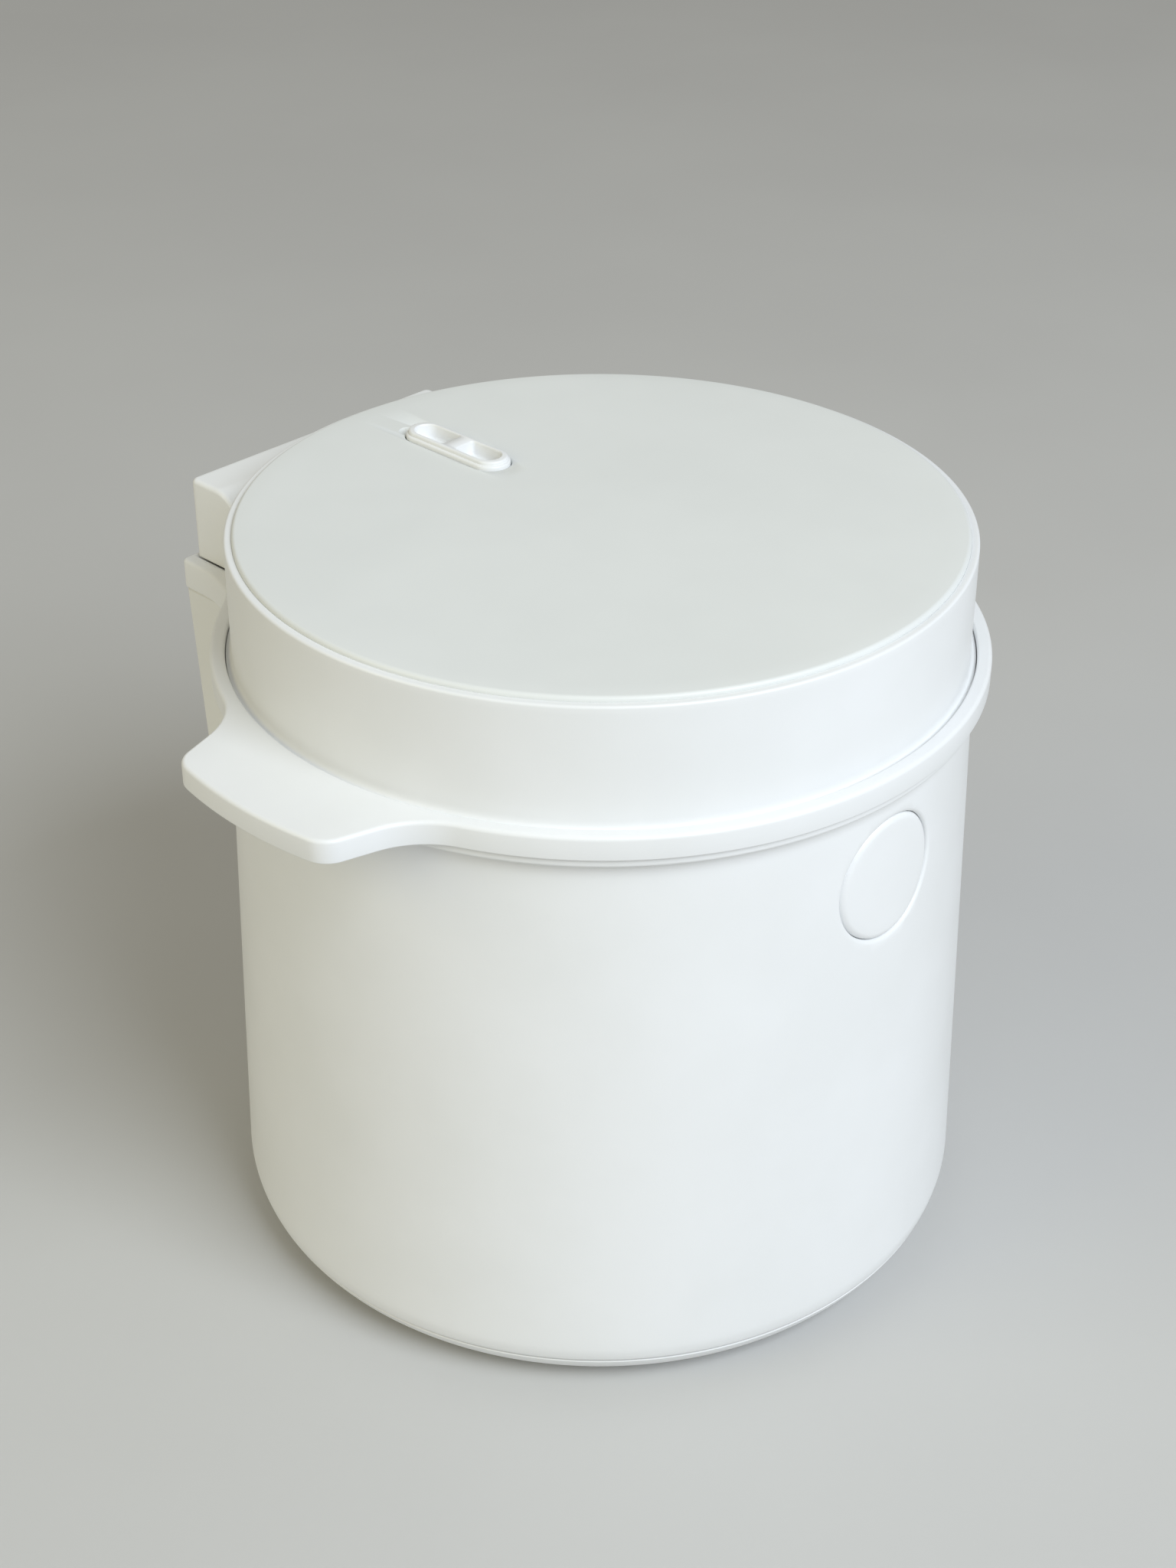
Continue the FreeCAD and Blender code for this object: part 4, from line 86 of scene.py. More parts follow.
def stadium(centre, half_length, radius, steps=16):
    """A slot outline along Y with round ends."""
    x, y = centre
    far_end = arc((x, y + half_length), radius, 0, 180, steps)
    near_end = arc((x, y - half_length), radius, 180, 360, steps)
    return far_end + near_end


def rectangle(low, high):
    """The four corners of a flat box, in turn."""
    return [(low[0], low[1]), (high[0], low[1]), (high[0], high[1]), (low[0], high[1])]


def turn_between(first, last):
    """The signed angle from one flat direction to another, the short way round."""
    angle = math.atan2(last.y, last.x) - math.atan2(first.y, first.x)
    return (angle + math.pi) % (2 * math.pi) - math.pi


def softened(corners, steps=5):
    """A closed outline in which a corner (x, y, radius) is rounded and a plain (x, y) stays as it is."""
    points = []
    for index, corner in enumerate(corners):
        here = Vector(corner[:2])
        if len(corner) < 3:
            points.append(tuple(here))
            continue
        back = (Vector(corners[index - 1][:2]) - here).normalized()
        ahead = (Vector(corners[(index + 1) % len(corners)][:2]) - here).normalized()
        half = abs(turn_between(back, ahead)) / 2
        centre = here + (back + ahead).normalized() * (corner[2] / math.sin(half))
        reach = corner[2] / math.tan(half)
        first = here + back * reach - centre
        sweep = turn_between(first, here + ahead * reach - centre)
        start = math.degrees(math.atan2(first.y, first.x))
        points += arc(centre, corner[2], start, start + math.degrees(sweep), steps)
    return points


def stations(first, last, count):
    """Evenly spaced numbers from first to last."""
    return [first + (last - first) * step / count for step in range(count + 1)]


print("outline tools ready")

# %% Meshes from outlines
MERGE_DISTANCE = 1e-7
ON_AXIS = 1e-6


def as_object(name, mesh):
    """Turn an edit mesh into a scene object with its faces turned outwards."""
    bmesh.ops.remove_doubles(mesh, verts=mesh.verts, dist=MERGE_DISTANCE)
    bmesh.ops.recalc_face_normals(mesh, faces=mesh.faces)
    data = bpy.data.meshes.new(name)
    mesh.to_mesh(data)
    mesh.free()
    piece = bpy.data.objects.new(name, data)
    bpy.context.scene.collection.objects.link(piece)
    return piece


def skin(name, loops, wrap=False, ladder=False):
    """Stretch faces over loops of (x, y, z) points in mm.

    With wrap, the last loop meets the first. Without it both ends are closed, with ladder by strips across.
    """
    mesh = bmesh.new()
    rows = [[mesh.verts.new(Vector(point) * MM) for point in loop] for loop in loops]
    count = len(loops[0])
    pairs = list(zip(rows, rows[1:]))
    if wrap:
        pairs.append((rows[-1], rows[0]))
    for low, high in pairs:
        for step in range(count):
            following = (step + 1) % count
            mesh.faces.new((low[step], low[following], high[following], high[step]))
    for end in () if wrap else (rows[0], rows[-1]):
        if ladder:
            for step in range(count // 2 - 1):
                mesh.faces.new((end[step], end[step + 1], end[count - 2 - step], end[count - 1 - step]))
        else:
            mesh.faces.new(end)
    return as_object(name, mesh)


def lathe(name, profile, segments=256):
    """Turn a closed profile of (radius, height) points about the upright axis."""
    mesh = bmesh.new()
    turns = [2 * math.pi * step / segments for step in range(segments)]
    rings = []
    for radius, height in profile:
        if radius < ON_AXIS:
            rings.append([mesh.verts.new((0, 0, height * MM))] * segments)
        else:
            rings.append([
                mesh.verts.new((radius * math.cos(turn) * MM, radius * math.sin(turn) * MM, height * MM))
                for turn in turns])
    for low, high in zip(rings, rings[1:] + rings[:1]):
        for step in range(segments):
            following = (step + 1) % segments
            around = list(dict.fromkeys((low[step], low[following], high[following], high[step])))
            if len(around) > 2:
                mesh.faces.new(around)
    return as_object(name, mesh)


def level(plan, height):
    """A flat outline as a loop at a height."""
    return [(x, y, height) for x, y in plan]


def prism(name, plan, low, high):
    """Raise a flat outline from one height to another."""
    return skin(name, [level(plan, height) for height in (low, high)])


def block(name, low, high):
    """A plain box between two corners, used only as a cutting tool."""
    return prism(name, rectangle(low, high), low[2], high[2])


def carve(piece, tool, way="DIFFERENCE"):
    """Cut a tool out of a piece, or join it on, and drop the tool."""
    cut = piece.modifiers.new("cut", "BOOLEAN")
    cut.operation = way
    cut.solver = "EXACT"
    cut.object = tool
    shaped = bpy.data.meshes.new_from_object(piece.evaluated_get(bpy.context.evaluated_depsgraph_get()))
    plain = piece.data
    piece.modifiers.clear()
    piece.data = shaped
    bpy.data.meshes.remove(plain)
    bpy.data.meshes.remove(tool.data)
    return piece


print("mesh makers ready")

# %% [markdown]
# ## Finishes
#
# A moulded plastic is never one flat colour: the tool's fine texture breaks up the gloss, the colour
# drifts a little from place to place, and the gloss is not quite even. All of this is noise at three
# sizes in object space, so that no picture file is needed and the pattern stays on the piece when it
# moves.

# %% A finish with drifting colour, uneven gloss and a fine surface grain
FINISHES = {}
TINT_SPAN = (0.36, 0.64)
GLOSS_SPAN = (0.3, 0.7)
PATCHES_PER_CLOUD = 5


def grained(name, light, dark, gloss, grain, depth, drift=18, stretch=(1, 1, 1), **even):
    """A finish: two near colours, a (low, high) roughness, and the grain's size and depth in mm."""
    finish = bpy.data.materials.new(name)
    finish.use_nodes = True
    nodes = finish.node_tree.nodes
    links = finish.node_tree.links
    shader = nodes["Principled BSDF"]
    for socket, value in even.items():
        shader.inputs[socket].default_value = value
    place = nodes.new("ShaderNodeTexCoord")
    spread = nodes.new("ShaderNodeMapping")
    spread.inputs["Scale"].default_value = stretch
    links.new(place.outputs["Object"], spread.inputs["Vector"])

    def noise(scale, detail):
        made = nodes.new("ShaderNodeTexNoise")
        made.inputs["Scale"].default_value = scale
        made.inputs["Detail"].default_value = detail
        links.new(spread.outputs["Vector"], made.inputs["Vector"])
        return made

    clouds = noise(drift, 3)
    tint = nodes.new("ShaderNodeValToRGB")
    for stop, position, colour in zip(tint.color_ramp.elements, TINT_SPAN, (dark, light)):
        stop.position = position
        stop.color = (*colour, 1)
    links.new(clouds.outputs["Fac"], tint.inputs["Fac"])
    links.new(tint.outputs["Color"], shader.inputs["Base Color"])
    patches = noise(drift * PATCHES_PER_CLOUD, 4)
    sheen = nodes.new("ShaderNodeMapRange")
    sheen.inputs["From Min"].default_value = GLOSS_SPAN[0]
    sheen.inputs["From Max"].default_value = GLOSS_SPAN[1]
    sheen.inputs["To Min"].default_value = gloss[0]
    sheen.inputs["To Max"].default_value = gloss[1]
    links.new(patches.outputs["Fac"], sheen.inputs["Value"])
    links.new(sheen.outputs["Result"], shader.inputs["Roughness"])
    texture = noise(1 / (grain * MM), 2)
    relief = nodes.new("ShaderNodeBump")
    relief.inputs["Strength"].default_value = 1
    relief.inputs["Distance"].default_value = depth * MM
    links.new(texture.outputs["Fac"], relief.inputs["Height"])
    links.new(relief.outputs["Normal"], shader.inputs["Normal"])
    FINISHES[name] = finish
    return finish


print("finish maker ready")

# %% [markdown]
# ## White plastics
#
# The shell is a cool, satin white. The lid's top panel has a duller texture and looks a shade greyer,
# and the mouldings that are seldom seen are duller still and a little warmer. One glossy white for all
# would hide where one moulding ends and the next begins, so each gets its own finish.

# %% White plastics
grained(
    "white_shell", light=(0.86, 0.87, 0.88), dark=(0.83, 0.84, 0.845),
    gloss=(0.34, 0.42), grain=0.9, depth=0.012)
grained(
    "white_lid", light=(0.785, 0.805, 0.795), dark=(0.765, 0.785, 0.775),
    gloss=(0.40, 0.48), grain=0.7, depth=0.016)
grained(
    "white_inner", light=(0.83, 0.835, 0.82), dark=(0.80, 0.805, 0.79),
    gloss=(0.5, 0.6), grain=0.8, depth=0.02)
print("finishes:", ", ".join(FINISHES))

# %% [markdown]
# ## Darker plastics, silicone and rubber
#
# Inside are heat-proof plastics and a pale silicone gasket, and underneath is a rubber foot. One shader
# could serve them all with other colours, but what tells them apart is mostly their gloss: rubber is
# nearly matt, silicone is soft, and a moulded part still shines a little.

# %% Darker plastics, silicone and rubber
grained(
    "grey_plastic", light=(0.36, 0.36, 0.36), dark=(0.31, 0.31, 0.315),
    gloss=(0.5, 0.62), grain=0.8, depth=0.02)
grained(
    "black_plastic", light=(0.022, 0.022, 0.024), dark=(0.015, 0.015, 0.016),
    gloss=(0.42, 0.55), grain=0.8, depth=0.02)
grained(
    "soft_silicone", light=(0.60, 0.60, 0.585), dark=(0.55, 0.55, 0.54),
    gloss=(0.55, 0.68), grain=0.5, depth=0.012)
grained(
    "foot_rubber", light=(0.045, 0.045, 0.045), dark=(0.03, 0.03, 0.03),
    gloss=(0.72, 0.85), grain=1.2, depth=0.05)
print("finishes:", ", ".join(FINISHES))

# %% [markdown]
# ## Pot coating and metals
#
# The pot is coated in a dark, finely speckled non-stick layer, so its colour drifts over very small
# distances. Rolled sheet and drawn wire have a direction. A brushed picture could show it, but the same
# noise with another scale along each axis does so without a picture.

# %% Pot coating and metals
grained(
    "coated_pot", light=(0.052, 0.052, 0.056), dark=(0.030, 0.030, 0.033),
    gloss=(0.26, 0.36), grain=0.5, depth=0.01, drift=900)
grained(
    "bare_aluminium", light=(0.70, 0.70, 0.71), dark=(0.665, 0.665, 0.675),
    gloss=(0.28, 0.33), grain=0.6, depth=0.01, stretch=(1, 1, 9), Metallic=1)
grained(
    "sheet_steel", light=(0.57, 0.57, 0.58), dark=(0.53, 0.53, 0.54),
    gloss=(0.3, 0.35), grain=0.5, depth=0.01, stretch=(9, 1, 1), Metallic=1)
grained(
    "bright_steel", light=(0.68, 0.68, 0.69), dark=(0.60, 0.60, 0.61),
    gloss=(0.14, 0.24), grain=0.4, depth=0.006, stretch=(1, 6, 6), Metallic=1)
print("finishes:", ", ".join(FINISHES))

# %% [markdown]
# ## Boards, pins and component cases
#
# The electrical pieces sit inside the closed body and are finished all the same, so that the part can
# be shown taken apart. Green board, brass and dark cases tell them apart, so they use the same maker as
# the rest.

# %% Boards, pins and component cases
grained(
    "circuit_board", light=(0.02, 0.13, 0.045), dark=(0.012, 0.09, 0.03),
    gloss=(0.3, 0.42), grain=1.5, depth=0.03, drift=160)
grained(
    "brass_pins", light=(0.65, 0.46, 0.17), dark=(0.52, 0.36, 0.12),
    gloss=(0.2, 0.32), grain=0.5, depth=0.008, Metallic=1)
grained(
    "component_case", light=(0.03, 0.033, 0.06), dark=(0.02, 0.022, 0.04),
    gloss=(0.35, 0.48), grain=0.7, depth=0.015)
print("finishes:", ", ".join(FINISHES))

# %% [markdown]
# ## Putting a piece on its body
#
# Every mesh below ends in the same way: it is shaded smooth up to a crease, takes one finish, and rides
# on the body that carries it, in place of that body's plain solid. One function does all of it, so no
# piece misses a step.

# %% Putting a piece on its body
CREASE = math.radians(38)


def dress(piece, body, node, slot):
    """Smooth a piece, give it its finish, and let it stand for a node on the body that carries it."""
    data = piece.data
    data.materials.clear()
    data.materials.append(FINISHES[slot])
    data.polygons.foreach_set("material_index", [0] * len(data.polygons))
    data.polygons.foreach_set("use_smooth", [True] * len(data.polygons))
    data.set_sharp_from_angle(angle=CREASE)
    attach(piece, body)
    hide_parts(node)
    print("%-16s %6d faces, stands for %s on %s" % (piece.name, len(data.polygons), node, body))
    return piece


print("dressing ready")

# %% [markdown]
# ## Body wall
#
# The body is one injection-moulded sleeve, a little wider at its foot, with a full rounding below. At
# its top a hollow leads out to a flange for the rim ring. It is turned from its section. The straight
# wall is cut into short rows, because the round button hole is carved through it and small faces keep
# their shading clean beside a cut.

# %% Section of the body wall
WALL_FOOT = (125.8, 19.5)
WALL_TOP = (119.8, 204.5)
WALL_THICK = 2.5
TURN_CENTRE = (107.8, 19.5)
TURN_RADIUS = 18
SHELL_FOOT = 13.4
SHELL_EDGE = 124.3
SHELL_CHAMFER = 0.5
FLANGE = 123.7
FLANGE_TOP = 207
FLANGE_INNER = 113
FLANGE_EDGE = 1.2
FLANGE_CORNER = 0.4
COVE = 2.6
COVE_FOOT = 201.2


def wall_at(height):
    """Radius of the outside of the wall at a height."""
    share = (WALL_TOP[1] - height) / (WALL_TOP[1] - WALL_FOOT[1])
    return WALL_TOP[0] + (WALL_FOOT[0] - WALL_TOP[0]) * share


def turn_angle(height, radius):
    """Angle on the foot rounding at a height, in degrees."""
    return math.degrees(math.asin((height - TURN_CENTRE[1]) / radius))


inner_turn = TURN_RADIUS - WALL_THICK
wall_section = arc(TURN_CENTRE, TURN_RADIUS, turn_angle(SHELL_FOOT + SHELL_CHAMFER, TURN_RADIUS), 0, 8)
wall_section += [(wall_at(height), height) for height in stations(WALL_FOOT[1], COVE_FOOT, 46)[1:-1]]
wall_section += arc((wall_at(COVE_FOOT) + COVE, COVE_FOOT), COVE, 180, 90, 8)[:-1]
wall_section += arc((FLANGE - FLANGE_EDGE, COVE_FOOT + COVE + FLANGE_EDGE), FLANGE_EDGE, -90, 0, 6)
wall_section += [(FLANGE, FLANGE_TOP, FLANGE_CORNER), (FLANGE_INNER, FLANGE_TOP)]
wall_section += [(FLANGE_INNER, WALL_TOP[1]), (WALL_TOP[0] - WALL_THICK, WALL_TOP[1])]
wall_section += [(WALL_FOOT[0] - WALL_THICK, WALL_FOOT[1])]
wall_section += arc(TURN_CENTRE, inner_turn, 0, turn_angle(SHELL_FOOT, inner_turn), 6)[1:]
wall_section += [(SHELL_EDGE, SHELL_FOOT)]
body_wall = lathe("body_wall", softened(wall_section), segments=320)
print("body wall section:", len(wall_section), "points")

# %% Button hole and inlet hole
BUTTON_HEIGHT = 174
HOLE_RADIUS = 21.03
HOLE_ROUND = 1.3
HOLE_DEPTH = 9
HOLE_EXIT = ((1.5, 0.12), (2.6, 0.6), (2.6, 6))
INLET_LOW = (-14.3, 35.2)
INLET_HIGH = (14.3, 56.8)
INLET_CORNER = 3
INLET_REACH = (110, 140)


def on_wall(distance, turn, out):
    """A point at a distance and turn from the button's middle, pulled out of the front wall."""
    x = distance * math.cos(turn)
    z = BUTTON_HEIGHT + distance * math.sin(turn)
    return (x, -math.sqrt(wall_at(z) ** 2 - x ** 2) - out, z)


def button_loop(distance, out=0, back=None, count=160):
    """A round loop about the button's axis, on the wall's surface or on a flat plane behind it."""
    loop = []
    for step in range(count):
        x, y, z = on_wall(distance, 2 * math.pi * step / count, out)
        loop.append((x, y if back is None else back, z))
    return loop


# Rows of the hole's tool, each as a distance from the button's axis and a distance out of the wall
flare = [(HOLE_RADIUS, -HOLE_DEPTH)]
for angle in stations(0, math.radians(80), 6):
    outward = HOLE_RADIUS + HOLE_ROUND * (1 - math.cos(angle))
    flare.append((outward, -HOLE_ROUND * (1 - math.sin(angle))))
flare += [(HOLE_RADIUS + beyond, out) for beyond, out in HOLE_EXIT]
carve(body_wall, skin("button_hole", [button_loop(distance, out) for distance, out in flare]))
inlet_hole = softened([(x, z, INLET_CORNER) for x, z in rectangle(INLET_LOW, INLET_HIGH)])
carve(body_wall, skin("inlet_hole", [[(x, y, z) for x, z in inlet_hole] for y in INLET_REACH]))
dress(body_wall, "base", "body_shell", "white_shell")

# %% [markdown]
# ## Open button
#
# The button is a disc whose face carries on the wall's curve, with a soft edge and a fine gap round it.
# Turning it on a lathe would give a flat face, so its loops are laid on the wall's own surface and then
# rolled over the edge. A stem behind it pushes the latch, and a relief at the top of its back leaves
# room for the latch to turn.

# %% Open button
BUTTON_RADIUS = 20.9
BUTTON_EDGE = 2.2
BUTTON_BACK = -116
BACK_CHAMFER = 0.3
FACE_ROWS = (0.4, 4, 8, 12, 16, BUTTON_RADIUS - BUTTON_EDGE)
STEM_RADIUS = 4
STEM_TIP = -110.9
DOME = 3.4
RELIEF_LOW = (-10.5, BUTTON_BACK - 2.4, 184.6)
RELIEF_HIGH = (10.5, BUTTON_BACK + 3, 200)

loops = [button_loop(distance) for distance in FACE_ROWS]
for angle in stations(0, math.pi / 2, 8)[1:]:
    distance = BUTTON_RADIUS - BUTTON_EDGE * (1 - math.sin(angle))
    loops.append(button_loop(distance, -BUTTON_EDGE * (1 - math.cos(angle))))
loops.append(button_loop(BUTTON_RADIUS, back=BUTTON_BACK - BACK_CHAMFER))
loops.append(button_loop(BUTTON_RADIUS - BACK_CHAMFER, back=BUTTON_BACK))
loops.append(button_loop(STEM_RADIUS, back=BUTTON_BACK))
for angle in stations(0, math.radians(80), 8):
    distance = STEM_RADIUS - DOME * (1 - math.cos(angle))
    loops.append(button_loop(distance, back=STEM_TIP - DOME * (1 - math.sin(angle))))
open_button = skin("push_button", loops)
carve(open_button, block("relief", RELIEF_LOW, RELIEF_HIGH))
dress(open_button, "button", "open_button", "white_shell")

# %% [markdown]
# ## Base dish and foot
#
# The base closes the body from below. Only its rounded edge shows under the seam, but the part is seen
# from every side, so its air slots, the groove for the rubber foot and the screw seats are carved as
# well.

# %% Base dish with air slots and screw seats
BASE_UNDER = 1.5
BASE_FLOOR = 4
SEAM = 13
SEAM_EDGE = 124.2
SEAM_CHAMFER = 0.4
SPIGOT = (119.9, 121.7)
SPIGOT_TOP = 18
FLOOR_RISE = 10
GROOVE = (92, 100)
GROOVE_TOP = 2.5
FINE_EDGE = 0.3
SLOT_COUNT = 10
SLOT_MIDDLE = (0, 72)
SLOT_HALF = 10
SLOT_RADIUS = 2.5
SLOT_REACH = (0, 8)
SCREW_CIRCLE = 104
SEAT_RADIUS = 3.65
SEAT_REACH = (-1, 3.1)


def turned(plan, turn):
    """A flat outline turned about the upright axis."""
    cosine = math.cos(turn)
    sine = math.sin(turn)
    return [(x * cosine - y * sine, x * sine + y * cosine) for x, y in plan]


base_section = [(0, BASE_UNDER), (GROOVE[0], BASE_UNDER, FINE_EDGE), (GROOVE[0], GROOVE_TOP)]
base_section += [(GROOVE[1], GROOVE_TOP), (GROOVE[1], BASE_UNDER, FINE_EDGE)]
base_section += arc(TURN_CENTRE, TURN_RADIUS, -90, turn_angle(SEAM - SEAM_CHAMFER, TURN_RADIUS), 14)
base_section += [(SEAM_EDGE, SEAM), (SPIGOT[1], SEAM), (SPIGOT[1], SPIGOT_TOP), (SPIGOT[0], SPIGOT_TOP)]
base_section += [(SPIGOT[0], FLOOR_RISE), (TURN_CENTRE[0], BASE_FLOOR), (0, BASE_FLOOR)]
base_dish = lathe("base_dish", softened(base_section))
for step in range(SLOT_COUNT):
    slot_plan = turned(stadium(SLOT_MIDDLE, SLOT_HALF, SLOT_RADIUS, 8), 2 * math.pi * step / SLOT_COUNT)
    carve(base_dish, prism("air_slot", slot_plan, *SLOT_REACH))
for across in (-1, 1):
    for along in (-1, 1):
        middle = (across * SCREW_CIRCLE * math.sqrt(0.5), along * SCREW_CIRCLE * math.sqrt(0.5))
        carve(base_dish, prism("screw_seat", circle(middle, SEAT_RADIUS), *SEAT_REACH))
dress(base_dish, "base", "base_cover", "white_shell")

# %% Rubber foot
FOOT_PLAY = 0.05
FOOT_EDGE = 0.6

foot_inner = GROOVE[0] + FOOT_PLAY
foot_outer = GROOVE[1] - FOOT_PLAY
foot_section = [(foot_inner, 0, FOOT_EDGE), (foot_outer, 0, FOOT_EDGE)]
foot_section += [(foot_outer, GROOVE_TOP), (foot_inner, GROOVE_TOP)]
dress(lathe("rubber_foot", softened(foot_section), segments=192), "base", "foot_ring", "foot_rubber")

# %% [markdown]
# ## Rim ring with ears and hinge pedestal
#
# One moulding carries the pot, the lid's groove, both ear handles and the pedestal for the hinge. Its
# outside is a plan outline and its inside is round, so the section is stretched between the two: every
# loop has one point for each point of the plan. The plan's hollows and corners are circles that touch
# their neighbours, worked out from the ring's circle and the ear's straight sides.

# %% Tools for the plan of the rim ring
RING_RADIUS = 125.1
PLAN_STEP = 2


def reach_at(radius, half):
    """How far out a circle about the middle is at a half width."""
    return math.sqrt(radius ** 2 - half ** 2)


def left_of(heading):
    """The direction to the left of a heading."""
    return Vector((-heading.y, heading.x))


def beside(start, heading, offset, distance):
    """The point beside a line, to its left by an offset, that lies at a distance from the ring's middle."""
    point = start + left_of(heading) * offset
    along = point.dot(heading)
    return point + heading * (math.sqrt(distance ** 2 - point.length_squared + along ** 2) - along)


def short_arc(centre, radius, first, last):
    """The short arc about a centre from one direction to another, as close points."""
    start = math.degrees(math.atan2(first.y, first.x))
    sweep = math.degrees(turn_between(first, last))
    steps = max(6, int(abs(math.radians(sweep)) * radius / PLAN_STEP) * 2)
    return arc(centre, radius, start, start + sweep, steps)


def ring_to_side(root, heading, hollow):
    """The hollow between the ring and a straight side, from the ring onto the side."""
    centre = beside(root, heading, -hollow, RING_RADIUS + hollow)
    return short_arc(centre, hollow, -centre, left_of(heading))


def straight(first, last):
    """Close points between two points, without the ends."""
    count = max(2, int((Vector(last) - Vector(first)).length / PLAN_STEP))
    return [tuple(Vector(first).lerp(Vector(last), step / count)) for step in range(1, count)]


print("plan tools ready")

# %% Plan of the rim ring
EAR_REACH = 150
EAR_ROOT_HALF = 41.3
EAR_TIP_HALF = 32.8
EAR_HOLLOW = 28
EAR_CORNER = 9
PEDESTAL_HALF = 59.5
PEDESTAL_BACK = 141.7
PEDESTAL_HOLLOW = 40
PEDESTAL_CORNER = 2.2

ear_root = Vector((reach_at(RING_RADIUS, EAR_ROOT_HALF), -EAR_ROOT_HALF))
ear_tip = Vector((reach_at(EAR_REACH, EAR_TIP_HALF), -EAR_TIP_HALF))
ear_heading = (ear_tip - ear_root).normalized()
ear_start = ring_to_side(ear_root, ear_heading, EAR_HOLLOW)
corner_centre = beside(ear_root, ear_heading, EAR_CORNER, EAR_REACH - EAR_CORNER)
ear_bend = short_arc(corner_centre, EAR_CORNER, -left_of(ear_heading), corner_centre)
tip_turn = math.degrees(math.atan2(corner_centre.y, corner_centre.x))
ear_front = ear_start + straight(ear_start[-1], ear_bend[0]) + ear_bend
ear_edge = ear_front + arc((0, 0), EAR_REACH, tip_turn, -tip_turn, 30)[1:-1]
ear_edge += [(x, -y) for x, y in reversed(ear_front)]

rear_root = Vector((PEDESTAL_HALF, reach_at(RING_RADIUS, PEDESTAL_HALF)))
rear_heading = Vector((0, 1))
rear_start = ring_to_side(rear_root, rear_heading, PEDESTAL_HOLLOW)
rear_centre = Vector((PEDESTAL_HALF - PEDESTAL_CORNER, PEDESTAL_BACK - PEDESTAL_CORNER))
rear_bend = short_arc(rear_centre, PEDESTAL_CORNER, Vector((1, 0)), Vector((0, 1)))
rear_edge = rear_start + straight(rear_start[-1], rear_bend[0]) + rear_bend
rear_edge += straight(rear_bend[-1], (0, PEDESTAL_BACK)) + [(0, PEDESTAL_BACK)]

to_ear = turn_between(Vector((0, -1)), Vector(ear_edge[0]))
to_rear = turn_between(Vector(ear_edge[-1]), Vector(rear_edge[0]))
ear_end = math.degrees(math.atan2(ear_edge[-1][1], ear_edge[-1][0]))
half_plan = arc((0, 0), RING_RADIUS, -90, -90 + math.degrees(to_ear), 60)[:-1] + ear_edge
half_plan += arc((0, 0), RING_RADIUS, ear_end, ear_end + math.degrees(to_rear), 34)[1:-1] + rear_edge
RING_PLAN = half_plan + [(-x, y) for x, y in reversed(half_plan[1:-1])]
print("rim ring plan:", len(RING_PLAN), "points")

# %% Outer loops of the rim ring
RING_FOOT = 207.15
RING_TOP = 215
LEDGE = 211.5
SKIRT_FOOT = 201
TOP_RAMP = (101.9, 116.9)
FOOT_RAMP = (108, 113)
TOP_ROUND = 1.3
FOOT_ROUND = 0.5


def inset(plan, distance):
    """A closed outline moved inwards, to its left, by a distance."""
    moved = []
    for index, point in enumerate(plan):
        way = (Vector(plan[(index + 1) % len(plan)]) - Vector(plan[index - 1])).normalized()
        moved.append(tuple(Vector(point) + left_of(way) * distance))
    return moved


def blend(first, last, value):
    """A soft step from 0 to 1 between two values."""
    share = min(1, max(0, (value - first) / (last - first)))
    return share * share * (3 - 2 * share)


def ring_top(y):
    """Height of the ring's top, which falls from the lip to the pedestal behind the lid."""
    return RING_TOP - (RING_TOP - LEDGE) * blend(*TOP_RAMP, y)


def ring_foot(y):
    """Height of the ring's underside, which drops to the foot of the pedestal's band."""
    return RING_FOOT - (RING_FOOT - SKIRT_FOOT) * blend(*FOOT_RAMP, y)


def edge_loop(shrink, height):
    """The ring's outline drawn in by a distance, at the height that a rule gives for each distance back."""
    return [(x, y, height(y)) for x, y in inset(RING_PLAN, shrink)]


loops = []
for angle in stations(0, math.pi / 2, 4):
    rise = FOOT_ROUND * (1 - math.cos(angle))
    loops.append(edge_loop(FOOT_ROUND * (1 - math.sin(angle)), lambda y: ring_foot(y) + rise))
for angle in stations(0, math.pi / 2, 8):
    drop = TOP_ROUND * (1 - math.sin(angle))
    loops.append(edge_loop(TOP_ROUND * (1 - math.cos(angle)), lambda y: ring_top(y) - drop))
print("outer loops:", len(loops))

# %% Inner loops of the rim ring
LIP_CROWN = 123.4
LIP_INNER = 120.4
LIP_EDGE = 0.7
LEDGE_CORNER = 0.5
LEDGE_ROWS = (LIP_INNER - 2, 112)
POT_STEP = 107
POT_SEAT = 208.8
POT_OPENING = 100.5
SEAT_EDGE = 0.5
SEAT_CORNER = 0.6
FLANGE_SEAT = 119.5
SKIRT_FRONT = 124.1


def round_loop(radius, height):
    """A round loop with one point in the direction of each point of the ring's plan."""
    return [tuple(Vector(point).normalized() * radius) + (height,) for point in RING_PLAN]


lip = [(LIP_CROWN, RING_TOP), (LIP_INNER, RING_TOP, LIP_EDGE)]
lip += [(LIP_INNER, LEDGE, LEDGE_CORNER), (LEDGE_ROWS[0], LEDGE)]
for radius, height in softened(lip):
    share = (height - LEDGE) / (RING_TOP - LEDGE)
    loops.append([(x, y, LEDGE + share * (ring_top(y) - LEDGE)) for x, y, z in round_loop(radius, LEDGE)])
seat = [(LEDGE_ROWS[1], LEDGE), (POT_STEP, LEDGE, SEAT_EDGE), (POT_STEP, POT_SEAT, SEAT_CORNER)]
seat += [(POT_OPENING, POT_SEAT, SEAT_EDGE), (POT_OPENING, FLANGE_TOP), (FLANGE_SEAT, FLANGE_TOP)]
loops += [round_loop(radius, height) for radius, height in softened(seat)]
loops += [round_loop(radius, RING_FOOT) for radius in (FLANGE_SEAT, SKIRT_FRONT)]
loops.append([(x, y, ring_foot(y)) for x, y, z in round_loop(SKIRT_FRONT, RING_FOOT)])
